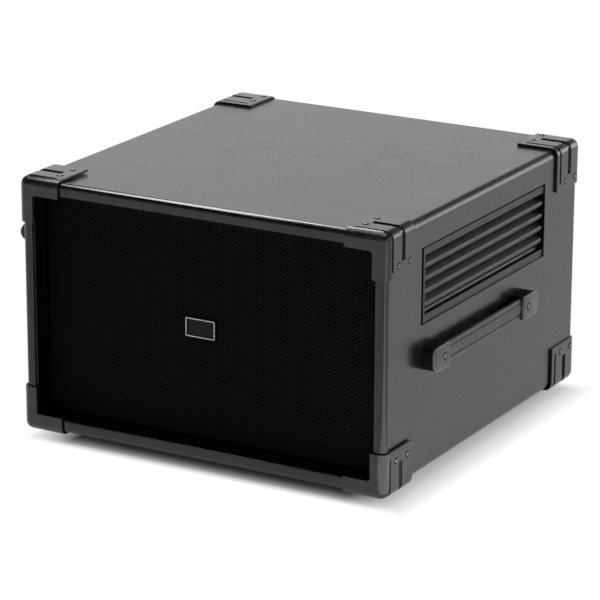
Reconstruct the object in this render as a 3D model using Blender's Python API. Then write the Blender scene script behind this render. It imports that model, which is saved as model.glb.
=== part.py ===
"""Rotating speaker cabinet: a 12 inch driver fires up into a drum that a small motor spins behind louvres.

The cabinet faces -Y, +Z is up, and the origin lies on the floor under its middle. Sizes are in metres.
"""

import math

import bmesh
import bpy
from mathutils import Matrix

# Cabinet, measured over the front trim
WIDTH = 0.521
HEIGHT = 0.330
DEPTH = 0.534
FLOOR_CLEARANCE = 0.0135
GAP = 0.0003

# Boards
PANEL = 0.015
EDGE_RADIUS = 0.0095
REAR_EDGE_RADIUS = 0.005
EDGE_STEPS = 4
BAFFLE_THICKNESS = 0.012
REAR_RECESS = 0.030
SHELF_THICKNESS = 0.015

# Front trim, an L-shaped extrusion with a rounded outer edge
TRIM_PROUD = 0.0015
TRIM_FACE = 0.003
TRIM_WRAP = 0.0095
TRIM_RADIUS = 0.005
TRIM_LIP_EDGE = 0.0012
TRIM_SIDE_LIP = 0.0143
TRIM_END_LIP = 0.0167

# Moulded corner protectors
CORNER_THICKNESS = 0.0035
CORNER_RADIUS = 0.011
CORNER_SEAT_RADIUS = 0.0045
CORNER_SIDE_LEG = 0.056
CORNER_DEPTH_LEG = 0.067
CORNER_UPRIGHT_ARM = 0.018
CORNER_LEVEL_ARM = 0.020
CORNER_FILLET = 0.003
GROOVE_DEPTH = 0.0024
GROOVE_BEND_RADIUS = 0.006
NARROW_GROOVE_START = 0.0075
NARROW_GROOVE_WIDTH = 0.004
NARROW_GROOVE_END_MARGIN = 0.009
WIDE_GROOVE_START = 0.032
WIDE_GROOVE_WIDTH = 0.009
WIDE_GROOVE_END_MARGIN = 0.018

# Perforated front grille, a pan with a folded rim, and the plate on it
GRILLE_RECESS = 0.026
GRILLE_DEPTH = 0.010
GRILLE_SHEET = 0.0015
GRILLE_MARGIN = 0.003
GRILLE_EDGE_RADIUS = 0.003
GRILLE_CORNER_RADIUS = 0.008
BADGE_WIDTH = 0.043
BADGE_HEIGHT = 0.025
BADGE_THICKNESS = 0.003
BADGE_RIM = 0.002
BADGE_RIM_HEIGHT = 0.001
BADGE_CORNER_RADIUS = 0.002
BADGE_OFFSET = -0.0125

# Louvre openings in both sides
LOUVRE_SETBACK = 0.0935
LOUVRE_REAR_SETBACK = 0.0955
LOUVRE_HEIGHT = 0.0985
LOUVRE_BELOW_TOP = 0.0385
LOUVRE_TOP_GAP = 0.003
LOUVRE_TOP_RAIL = 0.012
LOUVRE_BOTTOM_RAIL = 0.0105
LOUVRE_RAIL_RECESS = 0.002
LOUVRE_RAIL_LIP = 0.003
LOUVRE_RAIL_WEB = 0.002
LOUVRE_END_GAP = 0.009
LOUVRE_STILE = 0.004
LOUVRE_FLANGE = 0.010
LOUVRE_FLANGE_THICKNESS = 0.003
SLAT_COUNT = 5
SLAT_PITCH = 0.0165
SLAT_DEPTH = 0.026
SLAT_THICKNESS = 0.005
SLAT_SLOPE = math.radians(40)
SLAT_NOSE_RECESS = 0.003
SLAT_NOSE_BELOW_RAIL = 0.0172
SLAT_NOSE_RADIUS = 0.0044
SLAT_CORNER_RADIUS = 0.006
SLAT_REAR_CLEARANCE = 0.0035
RIB_COUNT = 4
RIB_THICKNESS = 0.004
RIB_INSET = 0.018
RIB_DEPTH = 0.005
RIB_TOOTH_REACH = 0.010
RIB_TOOTH_HEIGHT = 0.008
RIB_TOOTH_TIP = 0.001
BAFFLE_OPENING_WIDTH = 0.345

# Strap handles on both sides
HANDLE_HEIGHT = 0.149
HANDLE_SETBACK = 0.096
HANDLE_LENGTH = 0.290
CAP_LENGTH = 0.041
CAP_HEIGHT = 0.031
CAP_REACH = 0.0185
CAP_NOSE_RADIUS = 0.010
CAP_EDGE = 0.0012
CAP_SKIN = 0.003
STRAP_HEIGHT = 0.027
STRAP_THICKNESS = 0.005
STRAP_GROOVE_WIDTH = 0.0012
STRAP_GROOVE_DEPTH = 0.0008
STRAP_EDGE_RADIUS = 0.0015
STRAP_TUCK = 0.030

# Rubber feet and the single bumper on the left side
FOOT_INSET = 0.090
FOOT_TOP_RADIUS = 0.018
FOOT_BASE_RADIUS = 0.015
FOOT_EDGE = 0.0015
FOOT_COLLAR_SHARE = 0.6
FOOT_SCREW_RADIUS = 0.005
FOOT_SCREW_DEPTH = 0.006
FOOT_STEPS = 16
BUMPER_RADIUS = 0.0125
BUMPER_SETBACK = 0.024
BUMPER_BELOW_TOP = 0.0765

# Rotor compartment
SHELF_TOP = 0.176
SHELF_HOLE_RADIUS = 0.140
SHAFT_RADIUS = 0.005
SHAFT_TIP = 0.003
DRUM_RADIUS = 0.180
DRUM_HEIGHT = 0.104
DRUM_ABOVE_SHELF = 0.011
DRUM_SKIN = 0.012
DRUM_HUB_RADIUS = 0.016
DRUM_HUB_HEIGHT = 0.006
DRUM_STEPS = 48
SCOOP_HALF_WIDTH = 0.110
SCOOP_MOUTH_BACK = 0.118
SCOOP_MOUTH_FRONT = 0.118
SCOOP_CREST = 0.030
SCOOP_STEPS = 10
BELT_RADIUS = 0.002
BELT_GROOVE_DEPTH = 0.005
BELT_GROOVE_HALF = 0.0026
BELT_BELOW_DRUM_TOP = 0.006
BELT_STEPS = 42
PULLEY_ARC_STEPS = 6
CROSSBAR_OVERLAP = 0.020
CROSSBAR_WIDTH = 0.024
CROSSBAR_THICKNESS = 0.006
BEARING_RADIUS = 0.013
BEARING_HEIGHT = 0.008
BEARING_FLANGE = 0.056
BEARING_FLANGE_THICKNESS = 0.003
BEARING_FLOOR = 0.0015

# Rotor motor and its pulley
MOTOR_FROM_SIDE = 0.058
MOTOR_FROM_REAR = 0.047
MOTOR_RADIUS = 0.031
MOTOR_HEIGHT = 0.062
MOTOR_SHOULDER = 0.004
MOTOR_PLATE = 0.074
MOTOR_PLATE_THICKNESS = 0.004
MOTOR_BORE_DEPTH = 0.012
PULLEY_GROOVE_RADIUS = 0.010
PULLEY_HALF_HEIGHT = 0.006
PULLEY_SHAFT_RADIUS = 0.003

# Twelve inch driver under the shelf
BASKET_RADIUS = 0.155
BASKET_FLANGE = 0.004
BASKET_WALL = 0.0025
BASKET_SEAT_RADIUS = 0.139
BASKET_SEAT_DEPTH = 0.012
BASKET_FLOOR_RADIUS = 0.074
BASKET_FLOOR_DEPTH = 0.075
BASKET_BORE_RADIUS = 0.031
BASKET_WINDOWS = 4
BASKET_WINDOW_MARGIN = 0.010
BASKET_WINDOW_ANGLE = math.radians(62)
MAGNET_RADIUS = 0.070
MAGNET_HEIGHT = 0.038
MAGNET_EDGE = 0.003
COIL_RADIUS = 0.026
COIL_WALL = 0.001
COIL_SLOT_CLEARANCE = 0.0012
COIL_REACH = 0.012
COIL_SLOT_DEPTH = 0.022
POLE_BORE_RADIUS = 0.010
CONE_RADIUS = 0.124
CONE_SHELL = 0.0015
CONE_TOP = -0.006
CONE_THROAT_DEPTH = 0.058
DUST_CAP_RADIUS = 0.040
DUST_CAP_RISE = 0.016
DUST_CAP_STEPS = 4
SURROUND_SHEET = 0.0012
SURROUND_STEPS = 4
DRIVER_STEPS = 32

# Controls in the recessed rear panel
PLATE_WIDTH = 0.260
PLATE_HEIGHT = 0.070
PLATE_THICKNESS = 0.0025
PLATE_ABOVE_BASE = 0.080
PLATE_LAP = 0.010
CHASSIS_DEPTH = 0.060
INLET_FROM_END = 0.035
INLET_WIDTH = 0.028
INLET_HEIGHT = 0.021
INLET_FLANGE = 0.003
INLET_FLANGE_THICKNESS = 0.002
INLET_BODY_DEPTH = 0.022
INLET_SOCKET_WALL = 0.0025
INLET_SOCKET_DEPTH = 0.017
ROCKER_FROM_INLET = 0.050
ROCKER_WIDTH = 0.013
ROCKER_LENGTH = 0.021
ROCKER_DEPTH = 0.009
ROCKER_POCKET_DEPTH = 0.013
ROCKER_CLEARANCE = 0.0012
ROCKER_TILT = math.radians(8)
ROCKER_RISE = 0.0015
ROCKER_ROOT_SHARE = 0.6
KNOB_X = 0.015
KNOB_RADIUS = 0.009
KNOB_HEIGHT = 0.014
KNOB_SKIRT_RADIUS = 0.011
KNOB_SKIRT_HEIGHT = 0.003
KNOB_CLEARANCE = 0.0006
KNOB_POST_RADIUS = 0.003
KNOB_POST_HEIGHT = 0.008
KNOB_FLUTES = 12
KNOB_FLUTE_RADIUS = 0.0012
SOCKET_FROM_END = 0.045
SOCKET_RADIUS = 0.017
SOCKET_FLANGE_RADIUS = 0.021
SOCKET_FLANGE_THICKNESS = 0.002
SOCKET_BODY_DEPTH = 0.018
SOCKET_CUP_RADIUS = 0.0135
SOCKET_CUP_DEPTH = 0.012
ROUND_STEPS = 32

# Reference planes worked out from the sizes above
BASE = FLOOR_CLEARANCE
TOP = BASE + HEIGHT
FRONT = -DEPTH / 2
BACK = DEPTH / 2
OUTER_X = WIDTH / 2 - TRIM_PROUD
INNER_X = OUTER_X - PANEL
PANEL_TOP = TOP - TRIM_PROUD
PANEL_BOTTOM = BASE + TRIM_PROUD
CEILING = PANEL_TOP - PANEL
FLOOR = PANEL_BOTTOM + PANEL
PANEL_FRONT = FRONT + TRIM_FACE + GAP
GRILLE_FACE = FRONT + GRILLE_RECESS
BAFFLE_FRONT = GRILLE_FACE + GRILLE_DEPTH + GAP
BAFFLE_BACK = BAFFLE_FRONT + BAFFLE_THICKNESS
REAR_FACE = BACK - REAR_RECESS
REAR_INNER = REAR_FACE - BAFFLE_THICKNESS
SHELF_Z = BASE + SHELF_TOP
SHELF_UNDER = SHELF_Z - SHELF_THICKNESS
LOUVRE_FRONT = FRONT + LOUVRE_SETBACK
LOUVRE_REAR = BACK - LOUVRE_REAR_SETBACK
LOUVRE_TOP = TOP - LOUVRE_BELOW_TOP
LOUVRE_BOTTOM = LOUVRE_TOP - LOUVRE_HEIGHT
LOUVRE_FACE = OUTER_X - LOUVRE_RAIL_RECESS
RAIL_TOP = LOUVRE_TOP - LOUVRE_TOP_GAP
MOTOR_X = INNER_X - MOTOR_FROM_SIDE
MOTOR_Y = REAR_INNER - MOTOR_FROM_REAR
SLAT_NOSE_X = OUTER_X - SLAT_NOSE_RECESS
DRUM_BOTTOM = SHELF_Z + DRUM_ABOVE_SHELF
DRUM_TOP = DRUM_BOTTOM + DRUM_HEIGHT
BELT_Z = DRUM_TOP - BELT_BELOW_DRUM_TOP
BEARING_BORE = SHAFT_RADIUS + GAP
INLET_X = INLET_FROM_END - PLATE_WIDTH / 2
ROCKER_X = INLET_X + ROCKER_FROM_INLET
SOCKET_X = PLATE_WIDTH / 2 - SOCKET_FROM_END


# Materials

def material(name, colour, roughness, metallic=0.0):
    """A plain surface with its colour, roughness and metallic value."""
    surface = bpy.data.materials.new(name)
    surface.use_nodes = True
    shader = surface.node_tree.nodes["Principled BSDF"]
    shader.inputs["Base Color"].default_value = (*colour, 1.0)
    shader.inputs["Roughness"].default_value = roughness
    shader.inputs["Metallic"].default_value = metallic
    surface.diffuse_color = (*colour, 1.0)
    return surface


# Outlines

def arc(centre, radius, start, end, steps):
    """Points on a circular arc between two angles in degrees, both ends included."""
    angles = [math.radians(start + (end - start) * i / steps) for i in range(steps + 1)]
    return [(centre[0] + radius * math.cos(a), centre[1] + radius * math.sin(a)) for a in angles]


def rounded(u0, u1, v0, v1, radii, steps=EDGE_STEPS):
    """A rectangle with a radius for each corner: low-low, high-low, high-high, low-high."""
    low_low, high_low, high_high, low_high = radii
    corners = (
        (u0 + low_low, v0 + low_low, low_low, 180),
        (u1 - high_low, v0 + high_low, high_low, 270),
        (u1 - high_high, v1 - high_high, high_high, 0),
        (u0 + low_high, v1 - low_high, low_high, 90),
    )
    points = []
    for u, v, radius, start in corners:
        if radius:
            points += arc((u, v), radius, start, start + 90, steps)
        else:
            points.append((u, v))
    return points


# Solids

def lift(point, along, w):
    """Put an outline's point in space, at the distance w along the named axis."""
    u, v = point
    return {"X": (w, u, v), "Y": (u, w, v), "Z": (u, v, w)}[along]


def prism(outline, along, start, end):
    """Extrude an outline along an axis. It is drawn in the two other axes, in X, Y, Z order."""
    shape = bmesh.new()
    face = shape.faces.new([shape.verts.new(lift(point, along, start)) for point in outline])
    extruded = bmesh.ops.extrude_face_region(shape, geom=[face])
    moved = [item for item in extruded["geom"] if isinstance(item, bmesh.types.BMVert)]
    bmesh.ops.translate(shape, verts=moved, vec=lift((0, 0), along, end - start))
    bmesh.ops.recalc_face_normals(shape, faces=shape.faces)
    return shape


def block(x0, x1, y0, y1, z0, z1):
    """A box between two corners."""
    return prism([(x0, y0), (x1, y0), (x1, y1), (x0, y1)], "Z", z0, z1)


def turned(profile, steps=ROUND_STEPS, closed=True):
    """Turn a profile of (radius, height) points round Z. An open one starts and ends on the axis."""
    shape = bmesh.new()
    verts = [shape.verts.new((radius, 0, height)) for radius, height in profile]
    edges = [shape.edges.new(pair) for pair in zip(verts, verts[1:])]
    if closed:
        edges.append(shape.edges.new((verts[-1], verts[0])))
    bmesh.ops.spin(shape, geom=verts + edges, cent=(0, 0, 0), axis=(0, 0, 1), angle=math.tau, steps=steps)
    bmesh.ops.remove_doubles(shape, verts=shape.verts, dist=1e-6)
    bmesh.ops.recalc_face_normals(shape, faces=shape.faces)
    return shape


def rounded_block(low, high, radius, steps):
    """A box with all its edges rounded."""
    shape = block(low, high, low, high, low, high)
    bmesh.ops.bevel(shape, geom=shape.edges, offset=radius, segments=steps, profile=0.5, affect="EDGES")
    return shape


def soften(shape, chosen, radius, steps):
    """Round the edges for which the test holds."""
    edges = [edge for edge in shape.edges if chosen(edge)]
    bmesh.ops.bevel(shape, geom=edges, offset=radius, segments=steps, profile=0.5, affect="EDGES")
    return shape


def both_ends(edge, test):
    """True when the test holds for both ends of an edge."""
    return all(test(vert.co) for vert in edge.verts)


def moved(shape, matrix):
    """Move a shape, and keep its faces pointing out when the matrix mirrors it."""
    bmesh.ops.transform(shape, matrix=matrix, verts=shape.verts)
    bmesh.ops.recalc_face_normals(shape, faces=shape.faces)
    return shape


TURN_TO_X = Matrix.Rotation(math.pi / 2, 4, "Y")
TURN_TO_Y = Matrix.Rotation(-math.pi / 2, 4, "X")


# Objects

def piece(name, shape, surface, place=(0, 0, 0), turn=(0, 0, 0)):
    """Make a named object from a shape, with its origin at its place."""
    mesh = bpy.data.meshes.new(name)
    shape.to_mesh(mesh)
    shape.free()
    mesh.materials.append(surface)
    mesh.shade_smooth()
    mesh.set_sharp_from_angle(angle=math.radians(32))
    made = bpy.data.objects.new(name, mesh)
    made.location = place
    made.rotation_euler = turn
    bpy.context.scene.collection.objects.link(made)
    return made


def combine(target, shapes, operation="DIFFERENCE"):
    """Cut the shapes from an object, or join them to it, in the object's own coordinates."""
    for number, shape in enumerate(shapes):
        mesh = bpy.data.meshes.new("cutter")
        shape.to_mesh(mesh)
        shape.free()
        cutter = bpy.data.objects.new("cutter", mesh)
        cutter.matrix_basis = target.matrix_basis.copy()
        cutter.hide_render = True
        cutter.display_type = "WIRE"
        bpy.context.scene.collection.objects.link(cutter)
        modifier = target.modifiers.new(f"{operation.lower()}_{number}", "BOOLEAN")
        modifier.operation = operation
        modifier.object = cutter
    settle(target)
    return target


def settle(made):
    """Turn an object's modifiers into its mesh, and take away the cutters that they used."""
    result = made.evaluated_get(bpy.context.evaluated_depsgraph_get())
    mesh = bpy.data.meshes.new_from_object(result)
    mesh.name = made.name
    cutters = [modifier.object for modifier in made.modifiers]
    made.modifiers.clear()
    made.data = mesh
    for cutter in cutters:
        bpy.data.objects.remove(cutter)
    mesh.shade_smooth()
    mesh.set_sharp_from_angle(angle=math.radians(32))


# Carcass

def make_carcass(tolex, board):
    """The four outer panels, the rear panel, the front baffle and the rotor shelf."""
    for name, level, inside in (("top_panel", 1, CEILING), ("bottom_panel", -1, FLOOR)):
        outline = rounded(-OUTER_X, OUTER_X, 0, PANEL, (0, 0, EDGE_RADIUS, EDGE_RADIUS))
        panel = prism(outline, "Y", PANEL_FRONT, BACK)
        soften(panel, outer_rear_edge, REAR_EDGE_RADIUS, EDGE_STEPS)
        piece(name, moved(panel, Matrix.Diagonal((1, 1, level, 1))), tolex, (0, 0, inside))
    for name, side in (("left_side_panel", -1), ("right_side_panel", 1)):
        near, far = sorted((side * INNER_X, side * OUTER_X))
        shape = block(near, far, PANEL_FRONT, BACK, FLOOR + GAP, CEILING - GAP)
        panel = piece(name, soften(shape, side_rear_edge, REAR_EDGE_RADIUS, EDGE_STEPS), tolex)
        opening = block(near - PANEL, far + PANEL, LOUVRE_FRONT, LOUVRE_REAR, LOUVRE_BOTTOM, LOUVRE_TOP)
        combine(panel, [opening])
    make_rear_panel(tolex)
    make_front_baffle(board)
    make_rotor_shelf(board)


def outer_rear_edge(edge):
    """True for the edges round a level panel's rear end, apart from the inside one."""
    at_rear = both_ends(edge, lambda at: at.y > BACK - GAP)
    return at_rear and max(vert.co.z for vert in edge.verts) > GAP


def side_rear_edge(edge):
    """True for the outer upright edge at a side panel's rear end."""
    return both_ends(edge, lambda at: at.y > BACK - GAP and abs(at.x) > OUTER_X - GAP)


def chassis_outline(clearance=0.0):
    """The amplifier chassis as it passes through the rear panel, grown by a clearance."""
    half = PLATE_WIDTH / 2 - PLATE_LAP + clearance
    middle = BASE + PLATE_ABOVE_BASE
    reach = PLATE_HEIGHT / 2 - PLATE_LAP + clearance
    return -half, half, middle - reach, middle + reach


def make_rear_panel(tolex):
    """The recessed rear panel, with the opening for the amplifier chassis."""
    wide = INNER_X - GAP
    board = block(-wide, wide, REAR_INNER, REAR_FACE, FLOOR + GAP, CEILING - GAP)
    panel = piece("rear_panel", board, tolex)
    x0, x1, z0, z1 = chassis_outline(GAP)
    combine(panel, [block(x0, x1, REAR_INNER - PANEL, REAR_FACE + PANEL, z0, z1)])


def make_front_baffle(board):
    """The board behind the grille, open in front of the rotor."""
    wide = INNER_X - GAP
    shape = block(-wide, wide, BAFFLE_FRONT, BAFFLE_BACK, FLOOR + GAP, CEILING - GAP)
    baffle = piece("front_baffle", shape, board)
    half = BAFFLE_OPENING_WIDTH / 2
    before = BAFFLE_FRONT - PANEL
    behind = BAFFLE_BACK + PANEL
    combine(baffle, [block(-half, half, before, behind, LOUVRE_BOTTOM, LOUVRE_TOP)])


def make_rotor_shelf(board):
    """The shelf that carries the rotor above and the driver below, with a round hole between them."""
    wide = INNER_X - GAP
    outline = [
        (-wide, BAFFLE_BACK + GAP),
        (wide, BAFFLE_BACK + GAP),
        (wide, REAR_INNER - GAP),
        (-wide, REAR_INNER - GAP),
    ]
    shelf = piece("rotor_shelf", prism(outline, "Z", SHELF_UNDER, SHELF_Z), board)
    hole = arc((0, 0), SHELF_HOLE_RADIUS, 0, 360 - 360 / ROUND_STEPS, ROUND_STEPS - 1)
    combine(shelf, [prism(hole, "Z", SHELF_UNDER - PANEL, SHELF_Z + PANEL)])


# Front trim

def trim_profile(lip):
    """The trim's section as (distance in from the outer face, distance back from the front face)."""
    wall = TRIM_PROUD - GAP
    return [
        (wall, TRIM_WRAP),
        (0, TRIM_WRAP),
        *arc((TRIM_RADIUS, TRIM_RADIUS), TRIM_RADIUS, 180, 270, EDGE_STEPS),
        *arc((lip - TRIM_LIP_EDGE, TRIM_LIP_EDGE), TRIM_LIP_EDGE, 270, 360, 2),
        (lip, TRIM_FACE),
        (wall, TRIM_FACE),
    ]


def trim_bar(profile, half_length):
    """A mitred bar along X whose outer face lies at z = 0, with the cabinet below it."""
    shape = bmesh.new()
    rings = []
    for end in (-1, 1):
        ring = [(end * (half_length - inward - GAP), back, -inward) for inward, back in profile]
        rings.append([shape.verts.new(at) for at in ring])
    first, last = rings
    shape.faces.new(first)
    shape.faces.new(last[::-1])
    for index in range(len(profile)):
        following = (index + 1) % len(profile)
        shape.faces.new((first[index], last[index], last[following], first[following]))
    bmesh.ops.recalc_face_normals(shape, faces=shape.faces)
    return shape


def make_trim(metal):
    """Four mitred lengths of trim round the front, rounded where the corner protectors sit."""
    half_width = WIDTH / 2
    half_height = HEIGHT / 2
    middle = BASE + half_height
    lengths = (
        ("front_trim_top", 0, half_width, half_height, TRIM_END_LIP),
        ("front_trim_right", 90, half_height, half_width, TRIM_SIDE_LIP),
        ("front_trim_bottom", 180, half_width, half_height, TRIM_END_LIP),
        ("front_trim_left", 270, half_height, half_width, TRIM_SIDE_LIP),
    )
    for name, angle, half_length, reach, lip in lengths:
        bar = trim_bar(trim_profile(lip), half_length)
        placing = Matrix.Rotation(math.radians(angle), 4, "Y") @ Matrix.Translation((0, 0, reach))
        moved(bar, Matrix.Translation((0, FRONT, middle)) @ placing)
        made = piece(name, bar, metal)
        silhouette = rounded(-half_width, half_width, BASE, TOP, [EDGE_RADIUS] * 4)
        combine(made, [prism(silhouette, "Y", FRONT - PANEL, FRONT + PANEL)], "INTERSECT")


# Corner protectors

def corner_ring(end_margin):
    """A groove's section across a protector: a band bent more sharply than the rounded edge outside it."""
    surface = CORNER_THICKNESS - GROOVE_DEPTH
    centre = surface - GROOVE_BEND_RADIUS
    end = end_margin - CORNER_SIDE_LEG
    outside = CORNER_THICKNESS * 3
    return [
        (end, surface),
        *arc((centre, centre), GROOVE_BEND_RADIUS, 90, 0, EDGE_STEPS),
        (surface, end),
        (outside, end),
        (outside, outside),
        (end, outside),
    ]


def corner_window():
    """The part of the front face that a protector leaves open, inside its two arms."""
    far = -2 * CORNER_SIDE_LEG
    return rounded(far, -CORNER_UPRIGHT_ARM, far, -CORNER_LEVEL_ARM, (0, 0, CORNER_FILLET, 0), 2)


def corner_grooves(from_leg_end):
    """The narrow and the wide groove, set out from the cabinet's end or from the end of the depth leg."""
    rows = (
        (NARROW_GROOVE_START, NARROW_GROOVE_WIDTH, NARROW_GROOVE_END_MARGIN),
        (WIDE_GROOVE_START, WIDE_GROOVE_WIDTH, WIDE_GROOVE_END_MARGIN),
    )
    grooves = []
    for start, width, end_margin in rows:
        near = start
        if from_leg_end:
            near = CORNER_DEPTH_LEG - start - width
        grooves.append(prism(corner_ring(end_margin), "Y", -near - width, -near))
    return grooves


def corner_shell(name, plastic, from_leg_end):
    """A protector for the corner at the origin, whose cabinet fills the space below zero on each axis."""
    far = -4 * CORNER_DEPTH_LEG
    shell = piece(name, rounded_block(far, CORNER_THICKNESS, CORNER_RADIUS, EDGE_STEPS), plastic)
    reach = CORNER_THICKNESS * 2
    legs = block(-CORNER_SIDE_LEG, reach, -CORNER_DEPTH_LEG, reach, -CORNER_SIDE_LEG, reach)
    combine(shell, [legs], "INTERSECT")
    cuts = [
        rounded_block(far * 2, GAP, CORNER_SEAT_RADIUS, 3),
        prism(corner_window(), "Y", -CORNER_SEAT_RADIUS, reach),
    ]
    return combine(shell, cuts + corner_grooves(from_leg_end))


def make_corners(plastic):
    """Eight protectors: over the trim in front, and straight on the panels behind."""
    ends = (("front", -1, WIDTH / 2, BASE, TOP), ("rear", 1, OUTER_X, PANEL_BOTTOM, PANEL_TOP))
    for end_name, end, half_width, low, high in ends:
        template = corner_shell("corner", plastic, end_name == "rear")
        for level_name, level, height in (("top", 1, high), ("bottom", -1, low)):
            for side_name, side in (("left", -1), ("right", 1)):
                shape = bmesh.new()
                shape.from_mesh(template.data)
                moved(shape, Matrix.Diagonal((side, end, level, 1)))
                name = f"{end_name}_{level_name}_{side_name}_corner"
                piece(name, shape, plastic, (side * half_width, end * DEPTH / 2, height))
        bpy.data.objects.remove(template)


# Grille and badge

def make_grille(steel, plate):
    """The folded grille pan, and the small bordered plate that sits on it."""
    middle = BASE + HEIGHT / 2
    half_width = INNER_X - GRILLE_MARGIN
    half_height = (CEILING - FLOOR) / 2 - GRILLE_MARGIN
    outline = rounded(-half_width, half_width, -half_height, half_height, [GRILLE_CORNER_RADIUS] * 4)
    pan = prism(outline, "Y", 0, GRILLE_DEPTH)
    soften(pan, lambda edge: both_ends(edge, lambda at: at.y < GAP), GRILLE_EDGE_RADIUS, 3)
    made = piece("front_grille", pan, steel, (0, GRILLE_FACE, middle))
    inside = rounded(
        GRILLE_SHEET - half_width,
        half_width - GRILLE_SHEET,
        GRILLE_SHEET - half_height,
        half_height - GRILLE_SHEET,
        [GRILLE_CORNER_RADIUS - GRILLE_SHEET] * 4,
    )
    combine(made, [prism(inside, "Y", GRILLE_SHEET, 2 * GRILLE_DEPTH)])
    half = BADGE_WIDTH / 2
    rise = BADGE_HEIGHT / 2
    badge = prism(rounded(-half, half, -rise, rise, [BADGE_CORNER_RADIUS] * 4), "Y", -BADGE_THICKNESS, -GAP)
    made = piece("badge_plate", badge, plate, (BADGE_OFFSET, GRILLE_FACE, middle))
    half -= BADGE_RIM
    rise -= BADGE_RIM
    field = rounded(-half, half, -rise, rise, [BADGE_CORNER_RADIUS / 2] * 4)
    combine(made, [prism(field, "Y", -2 * BADGE_THICKNESS, BADGE_RIM_HEIGHT - BADGE_THICKNESS)])


# Louvres

def nose_height(index):
    """How high a slat's nose lies, counted down from the top rail."""
    return LOUVRE_TOP - LOUVRE_TOP_RAIL - SLAT_NOSE_BELOW_RAIL - SLAT_PITCH * index


def slat_line(distance_in, index, offset=0.0):
    """Height of a slat's underside at a distance in from its nose, less an offset square to it."""
    return nose_height(index) + distance_in * math.tan(SLAT_SLOPE) - offset / math.cos(SLAT_SLOPE)


def rib_places():
    """Where the ribs that carry the slats start along the opening."""
    first = LOUVRE_FRONT + LOUVRE_END_GAP + RIB_INSET
    last = LOUVRE_REAR - RIB_INSET - RIB_THICKNESS
    return [first + (last - first) * index / (RIB_COUNT - 1) for index in range(RIB_COUNT)]


def rib_outline():
    """A rib's section: an upright bar footed on the flange, with a sloping tooth under each slat."""
    root = SLAT_NOSE_X - SLAT_DEPTH * math.cos(SLAT_SLOPE) - GAP
    back = root - RIB_DEPTH
    foot = INNER_X - GAP - LOUVRE_FLANGE_THICKNESS / 2
    top = LOUVRE_TOP + LOUVRE_FLANGE / 2
    bottom = LOUVRE_BOTTOM - LOUVRE_FLANGE / 2
    foot_top = LOUVRE_BOTTOM + LOUVRE_RAIL_WEB
    foot_bottom = RAIL_TOP - LOUVRE_RAIL_WEB + GAP
    points = [(back, bottom), (foot, bottom), (foot, foot_top), (root, foot_top)]
    for index in reversed(range(SLAT_COUNT)):
        reach = root + RIB_TOOTH_REACH
        at_root = slat_line(SLAT_NOSE_X - root, index, GAP)
        at_tip = slat_line(SLAT_NOSE_X - reach, index, GAP)
        points += [(root, at_root - RIB_TOOTH_HEIGHT), (reach, at_tip - RIB_TOOTH_TIP)]
        points += [(reach, at_tip), (root, at_root)]
    return points + [(root, foot_bottom), (foot, foot_bottom), (foot, top), (back, top)]


def rail_outline(edge, inward, height):
    """An L-shaped rail's section: a web along the opening's edge and a lip that faces out."""
    back = INNER_X - GAP - LOUVRE_FLANGE_THICKNESS / 2
    lip_back = LOUVRE_FACE - LOUVRE_RAIL_LIP
    web = edge + inward * LOUVRE_RAIL_WEB
    far = edge + inward * height
    return [
        (back, edge),
        (LOUVRE_FACE, edge),
        (LOUVRE_FACE, far),
        (lip_back, far),
        (lip_back, web),
        (back, web),
    ]


def make_louvres(plastic):
    """On each side, a frame seated behind the panel and the slats that its toothed ribs carry."""
    for side_name, side in (("left", -1), ("right", 1)):
        make_louvre_frame(side_name, side, plastic)
        for index in range(SLAT_COUNT):
            make_slat(side_name, side, index, plastic)


def make_louvre_frame(side_name, side, plastic):
    """A flange behind the panel, the two rails and the stile in the opening, and the upright ribs."""
    mirror = Matrix.Diagonal((side, 1, 1, 1))
    outer = INNER_X - GAP
    inner = outer - LOUVRE_FLANGE_THICKNESS
    low = LOUVRE_BOTTOM + GAP
    low_web = low + LOUVRE_RAIL_WEB
    high_web = RAIL_TOP - LOUVRE_RAIL_WEB
    flange = block(
        inner,
        outer,
        LOUVRE_FRONT - LOUVRE_FLANGE,
        LOUVRE_REAR + LOUVRE_FLANGE,
        LOUVRE_BOTTOM - LOUVRE_FLANGE,
        LOUVRE_TOP + LOUVRE_FLANGE,
    )
    frame = piece(f"{side_name}_louvre_frame", moved(flange, mirror), plastic)
    window = block(inner - PANEL, outer + PANEL, LOUVRE_FRONT, LOUVRE_REAR, low_web, high_web)
    combine(frame, [moved(window, mirror)])
    front = LOUVRE_FRONT + LOUVRE_END_GAP
    rear = LOUVRE_REAR - GAP
    lip_back = LOUVRE_FACE - LOUVRE_RAIL_LIP
    bars = [
        prism(rail_outline(RAIL_TOP, -1, LOUVRE_TOP_RAIL - LOUVRE_TOP_GAP), "Y", front, rear),
        prism(rail_outline(low, 1, LOUVRE_BOTTOM_RAIL - GAP), "Y", front, rear),
        block(lip_back, LOUVRE_FACE, front, front + LOUVRE_STILE, low_web, high_web),
    ]
    bars += [prism(rib_outline(), "Y", start, start + RIB_THICKNESS) for start in rib_places()]
    combine(frame, [moved(bar, mirror) for bar in bars], "UNION")


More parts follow.
